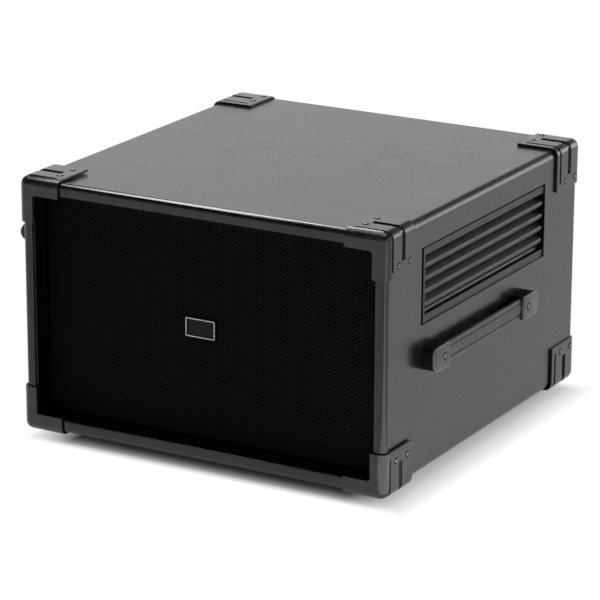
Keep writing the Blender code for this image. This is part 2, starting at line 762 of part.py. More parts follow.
def make_slat(side_name, side, index, plastic):
    """One slat: a board sloping down to a rounded nose. The last one stops behind the bottom rail."""
    nose = 0.0
    if index == SLAT_COUNT - 1:
        behind_lip = LOUVRE_FACE - LOUVRE_RAIL_LIP - GAP
        nose = (behind_lip - SLAT_NOSE_X) / math.cos(SLAT_SLOPE) - SLAT_THICKNESS * math.tan(SLAT_SLOPE)
    front = LOUVRE_FRONT + LOUVRE_END_GAP + LOUVRE_STILE + GAP
    rear = LOUVRE_REAR - SLAT_REAR_CLEARANCE
    section = rounded(-SLAT_DEPTH, nose, 0, SLAT_THICKNESS, (0, 0, SLAT_NOSE_RADIUS, 0))
    tilt = Matrix.Diagonal((side, 1, 1, 1)) @ Matrix.Rotation(SLAT_SLOPE, 4, "Y")
    board = moved(prism(section, "Y", front, rear), tilt)
    place = (side * SLAT_NOSE_X, 0, nose_height(index))
    made = piece(f"{side_name}_louvre_slat_{index + 1}", board, plastic, place)
    middle = (nose - SLAT_CORNER_RADIUS, rear - SLAT_CORNER_RADIUS)
    corner = arc(middle, SLAT_CORNER_RADIUS, 0, 90, EDGE_STEPS)
    corner += [(middle[0], rear + GAP), (nose + GAP, rear + GAP), (nose + GAP, middle[1])]
    combine(made, [moved(prism(corner, "Z", -SLAT_THICKNESS, 2 * SLAT_THICKNESS), tilt)])


# Handles

def strap_outline():
    """The strap's section, with its rounded edges and the two grooves along its outer face."""
    half = STRAP_HEIGHT / 2
    inner = OUTER_X + CAP_REACH - CAP_SKIN - STRAP_THICKNESS
    outer = inner + STRAP_THICKNESS
    points = rounded(inner, outer, -half, half, (0, STRAP_EDGE_RADIUS, STRAP_EDGE_RADIUS, 0), 2)
    grooves = []
    for middle in (-half / 2, half / 2):
        low = middle - STRAP_GROOVE_WIDTH / 2
        high = middle + STRAP_GROOVE_WIDTH / 2
        floor = outer - STRAP_GROOVE_DEPTH
        grooves += [(outer, low), (floor, low), (floor, high), (outer, high)]
    split = 2 + 2
    return points[:split] + grooves + points[split:]


def make_handles(rubber, plastic):
    """On each side, a strap whose ends are held in two screwed caps."""
    height = BASE + HANDLE_HEIGHT
    front = FRONT + HANDLE_SETBACK
    rear = front + HANDLE_LENGTH
    for side_name, side in (("left", -1), ("right", 1)):
        mirror = Matrix.Diagonal((side, 1, 1, 1))
        tuck = CAP_LENGTH - STRAP_TUCK
        strap = prism(strap_outline(), "Y", front + tuck, rear - tuck)
        piece(f"{side_name}_handle_strap", moved(strap, mirror), rubber, (0, 0, height))
        for end_name, end, tip in (("front", -1, front), ("rear", 1, rear)):
            cap = handle_cap(end)
            name = f"{side_name}_handle_{end_name}_cap"
            made = piece(name, moved(cap, mirror), plastic, (side * (OUTER_X + GAP), tip, height))
            combine(made, [moved(strap_pocket(end), mirror)])


def handle_cap(end):
    """A cap with its rounded nose at y = 0, its base on x = 0, and its body towards the strap."""
    reach = CAP_REACH - GAP
    half = CAP_HEIGHT / 2
    outline = rounded(0, reach, 0, CAP_LENGTH, (0, CAP_NOSE_RADIUS, 0, 0))
    cap = prism(outline, "Z", -half, half)

    def outer_rim(edge):
        on_side = both_ends(edge, lambda at: abs(at.z) > half - GAP)
        return on_side and max(vert.co.x for vert in edge.verts) > GAP

    soften(cap, outer_rim, CAP_EDGE, 2)
    return moved(cap, Matrix.Diagonal((1, -end, 1, 1)))


def strap_pocket(end):
    """The slot that a cap leaves for the strap's end."""
    inner = CAP_REACH - CAP_SKIN - STRAP_THICKNESS - 2 * GAP
    outer = CAP_REACH - CAP_SKIN
    half = STRAP_HEIGHT / 2 + GAP
    slot = block(inner, outer, CAP_LENGTH - STRAP_TUCK - GAP, CAP_LENGTH * 2, -half, half)
    return moved(slot, Matrix.Diagonal((1, -end, 1, 1)))


# Feet and bumper

def make_feet(rubber):
    """Four tapered feet with a screw recess, and the domed bumper on the left side."""
    height = PANEL_BOTTOM - GAP
    profile = [
        (0, height),
        (FOOT_TOP_RADIUS, height),
        (FOOT_TOP_RADIUS, height * FOOT_COLLAR_SHARE),
        (FOOT_BASE_RADIUS, FOOT_EDGE),
        (FOOT_BASE_RADIUS - FOOT_EDGE, 0),
        (FOOT_SCREW_RADIUS, 0),
        (FOOT_SCREW_RADIUS, FOOT_SCREW_DEPTH),
        (0, FOOT_SCREW_DEPTH),
    ]
    for end_name, end in (("front", -1), ("rear", 1)):
        for side_name, side in (("left", -1), ("right", 1)):
            place = (side * (WIDTH / 2 - FOOT_INSET), end * (DEPTH / 2 - FOOT_INSET), 0)
            piece(f"{end_name}_{side_name}_foot", turned(profile, FOOT_STEPS, closed=False), rubber, place)
    reach = CAP_REACH - GAP
    dome = [(0, 0), (BUMPER_RADIUS, 0)]
    dome += arc((0, reach - BUMPER_RADIUS), BUMPER_RADIUS, 0, 90, 5)
    bumper = moved(turned(dome, FOOT_STEPS, closed=False), TURN_TO_X.inverted())
    place = (-OUTER_X - GAP, FRONT + BUMPER_SETBACK, TOP - BUMPER_BELOW_TOP)
    piece("side_bumper", bumper, rubber, place)


# Rotor

def scoop_outline():
    """The air path through the drum, seen from the side: up from the driver and out at the window."""
    crest = DRUM_HEIGHT - DRUM_SKIN
    below = -DRUM_SKIN
    back = SCOOP_MOUTH_BACK
    span = back + SCOOP_CREST
    curve = []
    for index in range(SCOOP_STEPS + 1):
        angle = math.pi / 2 * index / SCOOP_STEPS
        curve.append((back - span * (1 - math.cos(angle)), crest * math.sin(angle)))
    window = -DRUM_RADIUS * 1.2
    mouth = -SCOOP_MOUTH_FRONT
    return [(back, below), *curve, (window, crest), (window, DRUM_SKIN), (mouth, DRUM_SKIN), (mouth, below)]


def make_rotor(foam, steel):
    """The drum with its belt groove and scoop, and the shaft that it is fixed to."""
    groove = DRUM_HEIGHT - BELT_BELOW_DRUM_TOP
    floor = DRUM_RADIUS - BELT_GROOVE_DEPTH
    profile = [
        (BEARING_BORE, 0),
        (DRUM_RADIUS, 0),
        (DRUM_RADIUS, groove - BELT_GROOVE_HALF),
        (floor, groove - BELT_GROOVE_HALF),
        (floor, groove + BELT_GROOVE_HALF),
        (DRUM_RADIUS, groove + BELT_GROOVE_HALF),
        (DRUM_RADIUS, DRUM_HEIGHT),
        (DRUM_HUB_RADIUS, DRUM_HEIGHT),
        (DRUM_HUB_RADIUS, DRUM_HEIGHT + DRUM_HUB_HEIGHT),
        (BEARING_BORE, DRUM_HEIGHT + DRUM_HUB_HEIGHT),
    ]
    drum = piece("rotor_drum", turned(profile, DRUM_STEPS), foam, (0, 0, DRUM_BOTTOM))
    combine(drum, [prism(scoop_outline(), "X", -SCOOP_HALF_WIDTH, SCOOP_HALF_WIDTH)])
    low = SHELF_Z + GAP + BEARING_FLOOR + GAP
    high = CEILING - GAP - BEARING_FLOOR - GAP
    shaft = [
        (0, low),
        (SHAFT_RADIUS - SHAFT_TIP / 2, low),
        (SHAFT_RADIUS, low + SHAFT_TIP),
        (SHAFT_RADIUS, high - SHAFT_TIP),
        (SHAFT_RADIUS - SHAFT_TIP / 2, high),
        (0, high),
    ]
    piece("rotor_shaft", turned(shaft, 16, closed=False), steel)


def make_bearings(steel):
    """The bar across the shelf hole with the lower bearing, and the flanged upper bearing."""
    half = SHELF_HOLE_RADIUS + CROSSBAR_OVERLAP
    bar = rounded(-half, half, -CROSSBAR_WIDTH / 2, CROSSBAR_WIDTH / 2, [CROSSBAR_WIDTH / 3] * 4)
    base = SHELF_Z + GAP
    lower = piece("rotor_bearing_lower", prism(bar, "Z", 0, CROSSBAR_THICKNESS), steel, (0, 0, base))
    boss = [
        (0, GAP),
        (BEARING_RADIUS, GAP),
        (BEARING_RADIUS, CROSSBAR_THICKNESS + BEARING_HEIGHT),
        (0, CROSSBAR_THICKNESS + BEARING_HEIGHT),
    ]
    combine(lower, [turned(boss, 24, closed=False)], "UNION")
    bore = [(0, BEARING_FLOOR), (BEARING_BORE, BEARING_FLOOR), (BEARING_BORE, PANEL), (0, PANEL)]
    combine(lower, [turned(bore, 16, closed=False)])
    half = BEARING_FLANGE / 2
    plate = rounded(-half, half, -half, half, [half / 3] * 4)
    flange = prism(plate, "Z", -BEARING_FLANGE_THICKNESS, 0)
    upper = piece("rotor_bearing_upper", flange, steel, (0, 0, CEILING - GAP))
    depth = BEARING_FLANGE_THICKNESS + BEARING_HEIGHT
    boss = [(0, -GAP), (BEARING_RADIUS, -GAP), (BEARING_RADIUS, -depth), (0, -depth)]
    combine(upper, [turned(boss, 24, closed=False)], "UNION")
    bore = [(0, -BEARING_FLOOR), (BEARING_BORE, -BEARING_FLOOR), (BEARING_BORE, -PANEL), (0, -PANEL)]
    combine(upper, [turned(bore, 16, closed=False)])


def make_motor(steel, dark_metal, rubber):
    """The motor on the shelf, its pulley, and the belt round pulley and drum."""
    base = SHELF_Z + GAP
    half = MOTOR_PLATE / 2
    plate = prism(rounded(-half, half, -half, half, [half / 4] * 4), "Z", 0, MOTOR_PLATE_THICKNESS)
    motor = piece("rotor_motor", plate, dark_metal, (MOTOR_X, MOTOR_Y, base))
    can = [
        (0, GAP),
        (MOTOR_RADIUS, GAP),
        (MOTOR_RADIUS, MOTOR_HEIGHT - MOTOR_SHOULDER),
        (MOTOR_RADIUS - MOTOR_SHOULDER, MOTOR_HEIGHT),
        (PULLEY_SHAFT_RADIUS * 3, MOTOR_HEIGHT),
        (PULLEY_SHAFT_RADIUS * 3, MOTOR_HEIGHT + MOTOR_SHOULDER),
        (0, MOTOR_HEIGHT + MOTOR_SHOULDER),
    ]
    combine(motor, [turned(can, 28, closed=False)], "UNION")
    bore_floor = MOTOR_HEIGHT - MOTOR_BORE_DEPTH
    radius = PULLEY_SHAFT_RADIUS + GAP
    above = MOTOR_HEIGHT + PANEL
    bore = [(0, bore_floor), (radius, bore_floor), (radius, above), (0, above)]
    combine(motor, [turned(bore, 16, closed=False)])
    rim = PULLEY_GROOVE_RADIUS + BELT_GROOVE_DEPTH
    tip = base + bore_floor + GAP - BELT_Z
    profile = [
        (0, tip),
        (PULLEY_SHAFT_RADIUS, tip),
        (PULLEY_SHAFT_RADIUS, -PULLEY_HALF_HEIGHT),
        (rim, -PULLEY_HALF_HEIGHT),
        (rim, -BELT_GROOVE_HALF),
        (PULLEY_GROOVE_RADIUS, -BELT_GROOVE_HALF),
        (PULLEY_GROOVE_RADIUS, BELT_GROOVE_HALF),
        (rim, BELT_GROOVE_HALF),
        (rim, PULLEY_HALF_HEIGHT),
        (0, PULLEY_HALF_HEIGHT),
    ]
    piece("motor_pulley", turned(profile, 24, closed=False), steel, (MOTOR_X, MOTOR_Y, BELT_Z))
    make_belt(rubber)


def make_belt(rubber):
    """A round belt: an arc on the drum, an arc on the pulley and the two straight runs between."""
    drum_radius = DRUM_RADIUS - BELT_GROOVE_DEPTH + BELT_RADIUS + GAP
    pulley_radius = PULLEY_GROOVE_RADIUS + BELT_RADIUS + GAP
    distance = math.hypot(MOTOR_X, MOTOR_Y)
    bearing = math.degrees(math.atan2(MOTOR_Y, MOTOR_X))
    lean = math.degrees(math.acos((drum_radius - pulley_radius) / distance))
    path = arc((0, 0), drum_radius, bearing + lean, bearing + 360 - lean, BELT_STEPS)
    path += arc((MOTOR_X, MOTOR_Y), pulley_radius, bearing - lean, bearing + lean, PULLEY_ARC_STEPS)
    curve = bpy.data.curves.new("drive_belt", "CURVE")
    curve.dimensions = "3D"
    curve.bevel_depth = BELT_RADIUS
    curve.bevel_resolution = 1
    spline = curve.splines.new("POLY")
    spline.points.add(len(path) - 1)
    for point, (x, y) in zip(spline.points, path):
        point.co = (x, y, 0, 1)
    spline.use_cyclic_u = True
    curve.materials.append(rubber)
    belt = bpy.data.objects.new("drive_belt", curve)
    belt.location = (0, 0, BELT_Z)
    bpy.context.scene.collection.objects.link(belt)


# Driver

def make_driver(steel, ferrite, paper, rubber):
    """The driver under the shelf: basket, magnet, moving cone with its coil, and surround."""
    height = SHELF_UNDER - GAP
    make_basket(steel, height)
    top = -BASKET_FLOOR_DEPTH - BASKET_WALL - GAP
    slot_inner = COIL_RADIUS - COIL_SLOT_CLEARANCE
    slot_outer = COIL_RADIUS + COIL_WALL + COIL_SLOT_CLEARANCE
    bottom = top - MAGNET_HEIGHT
    profile = [
        (POLE_BORE_RADIUS, top),
        (POLE_BORE_RADIUS, bottom),
        (MAGNET_RADIUS - MAGNET_EDGE, bottom),
        (MAGNET_RADIUS, bottom + MAGNET_EDGE),
        (MAGNET_RADIUS, top - MAGNET_EDGE),
        (MAGNET_RADIUS - MAGNET_EDGE, top),
        (slot_outer, top),
        (slot_outer, top - COIL_SLOT_DEPTH),
        (slot_inner, top - COIL_SLOT_DEPTH),
        (slot_inner, top),
    ]
    piece("woofer_magnet", turned(profile, DRIVER_STEPS), ferrite, (0, 0, height))
    piece("woofer_cone", turned(cone_profile(top), DRIVER_STEPS, closed=False), paper, (0, 0, height))
    make_surround(rubber, height)


def make_basket(steel, height):
    """The basket: a flat rim, a conical wall with windows, and a floor round the coil."""
    floor = -BASKET_FLOOR_DEPTH
    profile = [
        (BASKET_RADIUS, 0),
        (BASKET_SEAT_RADIUS, 0),
        (BASKET_SEAT_RADIUS, -BASKET_SEAT_DEPTH),
        (BASKET_FLOOR_RADIUS - BASKET_WALL, floor),
        (BASKET_BORE_RADIUS, floor),
        (BASKET_BORE_RADIUS, floor - BASKET_WALL),
        (BASKET_FLOOR_RADIUS, floor - BASKET_WALL),
        (BASKET_SEAT_RADIUS + BASKET_WALL, -BASKET_SEAT_DEPTH),
        (BASKET_SEAT_RADIUS + BASKET_WALL, -BASKET_FLANGE),
        (BASKET_RADIUS, -BASKET_FLANGE),
    ]
    basket = piece("woofer_basket", turned(profile, DRIVER_STEPS), steel, (0, 0, height))
    windows = []
    half = math.degrees(BASKET_WINDOW_ANGLE) / 2
    low = floor + BASKET_WINDOW_MARGIN
    high = -BASKET_SEAT_DEPTH - BASKET_WINDOW_MARGIN
    for index in range(BASKET_WINDOWS):
        middle = 360 * (index + 0.5) / BASKET_WINDOWS
        inner = arc((0, 0), BASKET_BORE_RADIUS, middle + half, middle - half, 4)
        outer = arc((0, 0), BASKET_RADIUS * 1.1, middle - half, middle + half, 4)
        windows.append(prism(outer + inner, "Z", low, high))
    combine(basket, windows)


def cone_profile(magnet_top):
    """The moving part: coil former, cone and domed dust cap, as one thin shell open at the coil's foot."""
    throat = -CONE_THROAT_DEPTH
    neck = COIL_RADIUS + COIL_WALL
    foot = magnet_top - COIL_REACH
    slope = (CONE_TOP - CONE_SHELL - throat) / (CONE_RADIUS - neck)
    cap_seat = throat + (DUST_CAP_RADIUS - neck) * slope + CONE_SHELL
    dome = []
    for index in range(DUST_CAP_STEPS + 1):
        share = 1 - index / DUST_CAP_STEPS
        dome.append((DUST_CAP_RADIUS * share, cap_seat + DUST_CAP_RISE * (1 - share ** 2)))
    under = [(radius, height - CONE_SHELL) for radius, height in reversed(dome[1:])]
    return [
        *under,
        (COIL_RADIUS, cap_seat - CONE_SHELL),
        (COIL_RADIUS, foot),
        (neck, foot),
        (neck, throat),
        (CONE_RADIUS, CONE_TOP - CONE_SHELL),
        (CONE_RADIUS, CONE_TOP),
        *dome,
    ]


def make_surround(rubber, height):
    """The half-roll surround between the cone's rim and the basket's seat."""
    inner = CONE_RADIUS + GAP
    outer = BASKET_SEAT_RADIUS - GAP
    middle = (inner + outer) / 2
    over = arc((middle, CONE_TOP), (outer - inner) / 2, 180, 0, SURROUND_STEPS)
    under = arc((middle, CONE_TOP), (outer - inner) / 2 - SURROUND_SHEET, 0, 180, SURROUND_STEPS)
    piece("woofer_surround", turned(over + under, DRIVER_STEPS), rubber, (0, 0, height))


# Rear controls

def make_controls(painted, plastic, knob_plastic):
    """The control plate with its chassis, and what is fitted in it."""
    middle = BASE + PLATE_ABOVE_BASE
    face = GAP + PLATE_THICKNESS
    half = PLATE_WIDTH / 2
    rise = PLATE_HEIGHT / 2
    plate = prism(rounded(-half, half, -rise, rise, [PLATE_LAP / 2] * 4), "Y", GAP, face)
    made = piece("control_plate", plate, painted, (0, REAR_FACE, middle))
    x0, x1, z0, z1 = chassis_outline()
    chassis = block(x0, x1, -CHASSIS_DEPTH, face - GAP, z0 - middle, z1 - middle)
    post_end = face + KNOB_POST_HEIGHT
    post = [(0, 0), (KNOB_POST_RADIUS, 0), (KNOB_POST_RADIUS, post_end), (0, post_end)]
    post_shape = moved(turned(post, 16, closed=False), Matrix.Translation((KNOB_X, 0, 0)) @ TURN_TO_Y)
    combine(made, [chassis, post_shape], "UNION")
    inlet_half = INLET_WIDTH / 2 + GAP
    inlet_rise = INLET_HEIGHT / 2 + GAP
    inlet = block(
        INLET_X - inlet_half,
        INLET_X + inlet_half,
        face - INLET_BODY_DEPTH - GAP,
        PANEL,
        -inlet_rise,
        inlet_rise,
    )
    rocker_half = ROCKER_WIDTH / 2 + GAP
    rocker_rise = ROCKER_LENGTH / 2 + ROCKER_CLEARANCE
    rocker = block(
        ROCKER_X - rocker_half,
        ROCKER_X + rocker_half,
        face - ROCKER_POCKET_DEPTH,
        PANEL,
        -rocker_rise,
        rocker_rise,
    )
    radius = SOCKET_RADIUS + GAP
    floor = face - SOCKET_BODY_DEPTH - GAP
    well = [(0, floor), (radius, floor), (radius, PANEL), (0, PANEL)]
    placing = Matrix.Translation((SOCKET_X, 0, 0)) @ TURN_TO_Y
    socket = moved(turned(well, ROUND_STEPS, closed=False), placing)
    combine(made, [inlet, rocker, socket])
    make_inlet(plastic, middle, face)
    make_rocker(knob_plastic, middle, face)
    make_knob(knob_plastic, middle, face)
    make_signal_socket(plastic, middle, face)


def make_inlet(plastic, middle, face):
    """The mains inlet: a flanged body with its open socket."""
    half = INLET_WIDTH / 2
    rise = INLET_HEIGHT / 2
    body = block(-half, half, face - INLET_BODY_DEPTH, face + INLET_FLANGE_THICKNESS, -rise, rise)
    made = piece("mains_inlet", body, plastic, (INLET_X, REAR_FACE, middle))
    wide = half + INLET_FLANGE
    tall = rise + INLET_FLANGE
    flange = rounded(-wide, wide, -tall, tall, [INLET_FLANGE] * 4)
    combine(made, [prism(flange, "Y", face + GAP, face + GAP + INLET_FLANGE_THICKNESS)], "UNION")
    half -= INLET_SOCKET_WALL
    rise -= INLET_SOCKET_WALL
    shoulder = rise / 2
    outline = [(-half, -rise), (half, -rise), (half, rise - shoulder), (half - shoulder, rise)]
    outline += [(shoulder - half, rise), (-half, rise - shoulder)]
    combine(made, [prism(outline, "Y", face - INLET_SOCKET_DEPTH, PANEL)])


def make_rocker(plastic, middle, face):
    """The power rocker, which pivots about X and rests tilted to one side."""
    half = ROCKER_WIDTH / 2
    reach = ROCKER_LENGTH / 2
    outer = ROCKER_DEPTH / 2 + ROCKER_RISE
    section = [
        (-ROCKER_DEPTH / 2, -reach * ROCKER_ROOT_SHARE),
        (ROCKER_DEPTH / 2, -reach),
        (outer, -reach),
        (outer - ROCKER_RISE, 0),
        (outer, reach),
        (ROCKER_DEPTH / 2, reach),
        (-ROCKER_DEPTH / 2, reach * ROCKER_ROOT_SHARE),
    ]
    place = (ROCKER_X, REAR_FACE + face - ROCKER_DEPTH / 2, middle)
    piece("power_rocker", prism(section, "X", -half, half), plastic, place, (-ROCKER_TILT, 0, 0))


def make_knob(plastic, middle, face):
    """The level knob: a fluted grip over a round skirt, with a blind bore for its post."""
    base = KNOB_CLEARANCE
    top = base + KNOB_HEIGHT
    bore = KNOB_POST_RADIUS + GAP
    bore_top = KNOB_POST_HEIGHT + KNOB_CLEARANCE
    profile = [
        (bore, base),
        (KNOB_SKIRT_RADIUS, base),
        (KNOB_SKIRT_RADIUS, base + KNOB_SKIRT_HEIGHT),
        (KNOB_RADIUS, base + KNOB_SKIRT_HEIGHT),
        (KNOB_RADIUS * 0.9, top - KNOB_FLUTE_RADIUS),
        (KNOB_RADIUS * 0.8, top),
        (0, top),
        (0, bore_top),
        (bore, bore_top),
    ]
    place = (KNOB_X, REAR_FACE + face, middle)
    made = piece("level_knob", moved(turned(profile, 24), TURN_TO_Y), plastic, place)
    flutes = []
    low = base + KNOB_SKIRT_HEIGHT + KNOB_FLUTE_RADIUS
    for index in range(KNOB_FLUTES):
        angle = math.tau * index / KNOB_FLUTES
        at = (KNOB_RADIUS * math.cos(angle), KNOB_RADIUS * math.sin(angle))
        circle = arc(at, KNOB_FLUTE_RADIUS, 0, 300, 5)
        flutes.append(moved(prism(circle, "Z", low, top * 2), TURN_TO_Y))
    combine(made, flutes)


def make_signal_socket(plastic, middle, face):
    """The round multi-pin socket: a flanged cup."""
    floor = face - SOCKET_BODY_DEPTH
    lip = face + GAP + SOCKET_FLANGE_THICKNESS
    cup_floor = face - SOCKET_CUP_DEPTH
    profile = [
        (0, floor),
        (SOCKET_RADIUS, floor),
        (SOCKET_RADIUS, face + GAP),
        (SOCKET_FLANGE_RADIUS, face + GAP),
        (SOCKET_FLANGE_RADIUS, lip),
        (SOCKET_CUP_RADIUS, lip),
        (SOCKET_CUP_RADIUS, cup_floor),
        (0, cup_floor),
    ]
    shape = moved(turned(profile, ROUND_STEPS, closed=False), TURN_TO_Y)
    piece("signal_socket", shape, plastic, (SOCKET_X, REAR_FACE, middle))


def clear_scene():
    """Start from an empty scene."""
    for existing in list(bpy.data.objects):
        bpy.data.objects.remove(existing)


def main():
    clear_scene()
    tolex = material("tolex", (0.075, 0.075, 0.075), 0.62)
    board = material("painted_board", (0.010, 0.010, 0.010), 0.85)
    trim = material("trim_extrusion", (0.040, 0.040, 0.040), 0.32)
    corner = material("corner_plastic", (0.038, 0.038, 0.038), 0.42)
    grille = material("grille_steel", (0.012, 0.012, 0.012), 0.55, 0.4)
    badge = material("badge_plate", (0.015, 0.015, 0.015), 0.35, 0.2)
    louvre = material("louvre_plastic", (0.050, 0.050, 0.050), 0.5)
    handle = material("handle_rubber", (0.070, 0.070, 0.070), 0.6)
    rubber = material("rubber", (0.020, 0.020, 0.020), 0.8)
    steel = material("zinc_steel", (0.55, 0.55, 0.56), 0.35, 1.0)
    basket = material("painted_steel", (0.030, 0.030, 0.032), 0.5, 0.6)
    ferrite = material("ferrite", (0.045, 0.045, 0.047), 0.7)
    paper = material("cone_paper", (0.022, 0.021, 0.020), 0.9)
    foam = material("rotor_drum", (0.30, 0.20, 0.11), 0.7)
    plate = material("control_plate", (0.030, 0.030, 0.032), 0.45, 0.6)
    knob = material("knob_plastic", (0.018, 0.018, 0.018), 0.4)
    make_carcass(tolex, board)
    make_trim(trim)
    make_corners(corner)
    make_grille(grille, badge)
    make_louvres(louvre)
    make_handles(handle, corner)
    make_feet(rubber)
    make_rotor(foam, steel)
    make_bearings(steel)
    make_motor(steel, basket, rubber)
    make_driver(basket, ferrite, paper, rubber)
    make_controls(plate, corner, knob)


main()
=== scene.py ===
"""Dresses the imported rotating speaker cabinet: finishes, perforated grille, screws and markings."""

import math

import bmesh
import bpy
import numpy as np
from mathutils import Matrix, Vector


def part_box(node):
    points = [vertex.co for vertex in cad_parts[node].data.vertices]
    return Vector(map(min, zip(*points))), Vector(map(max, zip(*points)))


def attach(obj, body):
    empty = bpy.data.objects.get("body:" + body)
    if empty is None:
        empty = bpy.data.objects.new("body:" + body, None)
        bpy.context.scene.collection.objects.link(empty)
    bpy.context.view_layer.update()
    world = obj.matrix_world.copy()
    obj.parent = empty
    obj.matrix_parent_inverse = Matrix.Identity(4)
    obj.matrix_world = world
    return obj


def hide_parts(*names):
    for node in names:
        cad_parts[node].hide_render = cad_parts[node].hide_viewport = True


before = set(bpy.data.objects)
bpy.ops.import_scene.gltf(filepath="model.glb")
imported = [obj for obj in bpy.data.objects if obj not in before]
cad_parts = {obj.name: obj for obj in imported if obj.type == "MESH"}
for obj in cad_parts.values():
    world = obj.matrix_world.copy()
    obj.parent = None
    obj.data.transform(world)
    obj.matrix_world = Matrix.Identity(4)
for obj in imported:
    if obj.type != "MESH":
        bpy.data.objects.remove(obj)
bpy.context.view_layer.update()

QUARTER_TURN = math.pi / 2
SIDES = (("left", -1), ("right", 1))

# The camera, where the photograph was taken from.
CAMERA_PLACE = Vector((1.9243, -3.3896, 1.3716))
CAMERA_YAW = math.radians(-29.701)
CAMERA_PITCH = math.radians(17.374)
CAMERA_ROLL = math.radians(0.209)
CAMERA_LENS = 187.71
CAMERA_SENSOR = 36.0
CAMERA_CLIP = (0.1, 100.0)

# The studio: a bright ring of background under a dim dome, with elevations as sines.
RING_TOP = 0.34
RING_END = 0.47
RING_LEVEL = 1.38
# The background's share in front of the cabinet, and the turn to its full level, as sines along Y.
RING_FRONT_SHARE = 0.20
RING_FRONT_TURN = (-0.6, 0.1)
DOME_LEVEL = 0.10
# Each softbox has its place, what it faces, its size and its radiance.
AIM = (0.0, 0.0, 0.15)
SOFTBOXES = {
    "overhead": ((0.10, -0.15, 2.60), AIM, (1.50, 1.20), 4.0),
    "upper_left": ((-1.16, 0.62, 2.16), (0.0, 0.62, 0.15), (2.50, 0.36), 15.0),
    "rim": ((1.62, 2.46, 0.62), AIM, (1.30, 1.00), 2.6),
}
# A low strip that lies beside the front right edge and faces up: place, turn, size and radiance.
LOW_STRIP = ((0.80, -0.57, 0.004), math.radians(-29.7), (1.20, 0.34), 1.8)
FLOOR_REACH = 30.0
FLOOR_HALF = (0.262, 0.228)
# How far beyond those halves the floor is fully white, and how late the white comes; nearer in, the white is
# painted light that thins the object's shadow.
FLOOR_FADE = (0.034, 0.050)
FLOOR_FADE_POWER = (1.5, 3.0)
# Painted light: how much white glow lies over the shadow right beside the cabinet, at the right side and at
# the left side.
FLOOR_GLOW_OVER_SHADOW_RIGHT = 0.60
FLOOR_GLOW_OVER_SHADOW_LEFT = 0.95
FLOOR_TURN = (0.20, 0.27)
FLOOR_COLOUR = 0.93
FLOOR_ROUGHNESS = 0.9
FLOOR_SPECULAR = 0.2

# The perforated grille: a pan of sheet with staggered hexagonal holes.
GRILLE_COLUMNS = 97
GRILLE_ROWS = 50
GRILLE_FIELD_INSET = (0.0085, 0.0085)
GRILLE_HOLE_RADIUS = 0.00148
GRILLE_SHEET = 0.0015
GRILLE_EDGE_RADIUS = 0.003
GRILLE_CORNER_RADIUS = 0.008
GRILLE_ARC_STEPS = 4

# The cloth behind the grille's face.
SCRIM_INSET = 0.003
SCRIM_BEHIND = 0.0024
SCRIM_SLACK = 0.00012
SCRIM_GRID = (48, 28)

# Screws: each kind's head has a radius and a height. Their turns differ, as a screwdriver leaves them.
SCREW_STEPS = 32
SCREW_PROFILE = ((0.0, 1.0), (0.35, 0.97), (0.62, 0.86), (0.84, 0.62), (0.96, 0.3), (1.0, 0.0), (1.0, -0.3))
# The cross recess: its arms' half width as a share of the radius, its floor and top as shares of the height.
RECESS_HALF_WIDTH = 0.115
RECESS_FLOOR = 0.25
RECESS_TOP = 1.4
CORNER_SCREW = (0.0030, 0.0013)
HANDLE_SCREW = (0.0036, 0.0007)
REAR_SCREW = (0.0036, 0.0016)
PLATE_SCREW = (0.0026, 0.0012)
FOOT_SCREW = (0.0042, 0.0022)
# The corner screws' distances from the outer end of the corner, and in from its inner edge.
CORNER_SCREW_REACH = {"front": (0.0284, 0.0572), "rear": (0.0160, 0.0450)}
CORNER_SCREW_INSET = {"front": 0.0140, "rear": 0.0105}
HANDLE_SCREW_Y = {"front": -0.143, "rear": 0.092}
HANDLE_SCREW_Z = 0.1625
HANDLE_SCREW_RECESS = 0.55
REAR_SCREW_X = (-0.190, -0.095, 0.0, 0.095, 0.190)
REAR_SCREW_Z = (0.042, 0.315)
REAR_SIDE_X = (-0.232, 0.232)
REAR_SIDE_Z = (0.110, 0.180, 0.250)
PLATE_SCREW_INSET = 0.006
PLATE_SCREW_INNER_X = 0.050
# Painted shade: the dark ring under each screw head, its width as a share of the head's radius, and its
# height.
SHADE_RING_SHARE = 1.5
SHADE_RING_HEIGHT = 0.00012

# The trim's section, with distances in from the outer face and back from the front face.
TRIM_RADIUS = 0.0072
TRIM_ARC_STEPS = 10
TRIM_WALL = 0.0012
TRIM_FACE = 0.0030
TRIM_LIP_EDGE = 0.0012
TRIM_INNER = ((0.0032, TRIM_FACE), (TRIM_WALL, 0.0055))
TRIM_END = 0.0158

# The handle strap's section.
STRAP_CROWN = 0.0011
STRAP_EDGE = 0.0016
STRAP_GROOVE_HALF = 0.0008
STRAP_GROOVE_DEPTH = 0.0014
STRAP_COLUMNS = 64
# Painted shade in the grooves: the dark strip's half width, how far short of the ends it stops, and its
# height.
STRAP_GROOVE_SHADE_HALF = 0.0006
STRAP_GROOVE_SHADE_END = 0.008
STRAP_GROOVE_SHADE_HEIGHT = (-0.0002, 0.0006)
STRAP_BACK_SHARE = 0.96

# The handle caps: a near-black body, a pale rim that is a painted highlight along the caps' edge, and a
# glossy face.
CAP_NOSE_TOP = 0.0075
CAP_NOSE_BOTTOM = 0.0110
CAP_INNER = 0.0016
CAP_FACE_DEPTH = 0.0026
CAP_RIM_WIDTH = 0.0013
CAP_RIM_DROP = 0.0004
CAP_FACE_EDGE = 0.0007
CAP_OVERLAP = 0.0001
CAP_LEAST_RADIUS = 0.0002
CAP_BODY_INSET = 0.0002
CAP_BODY_EDGE = 0.0003

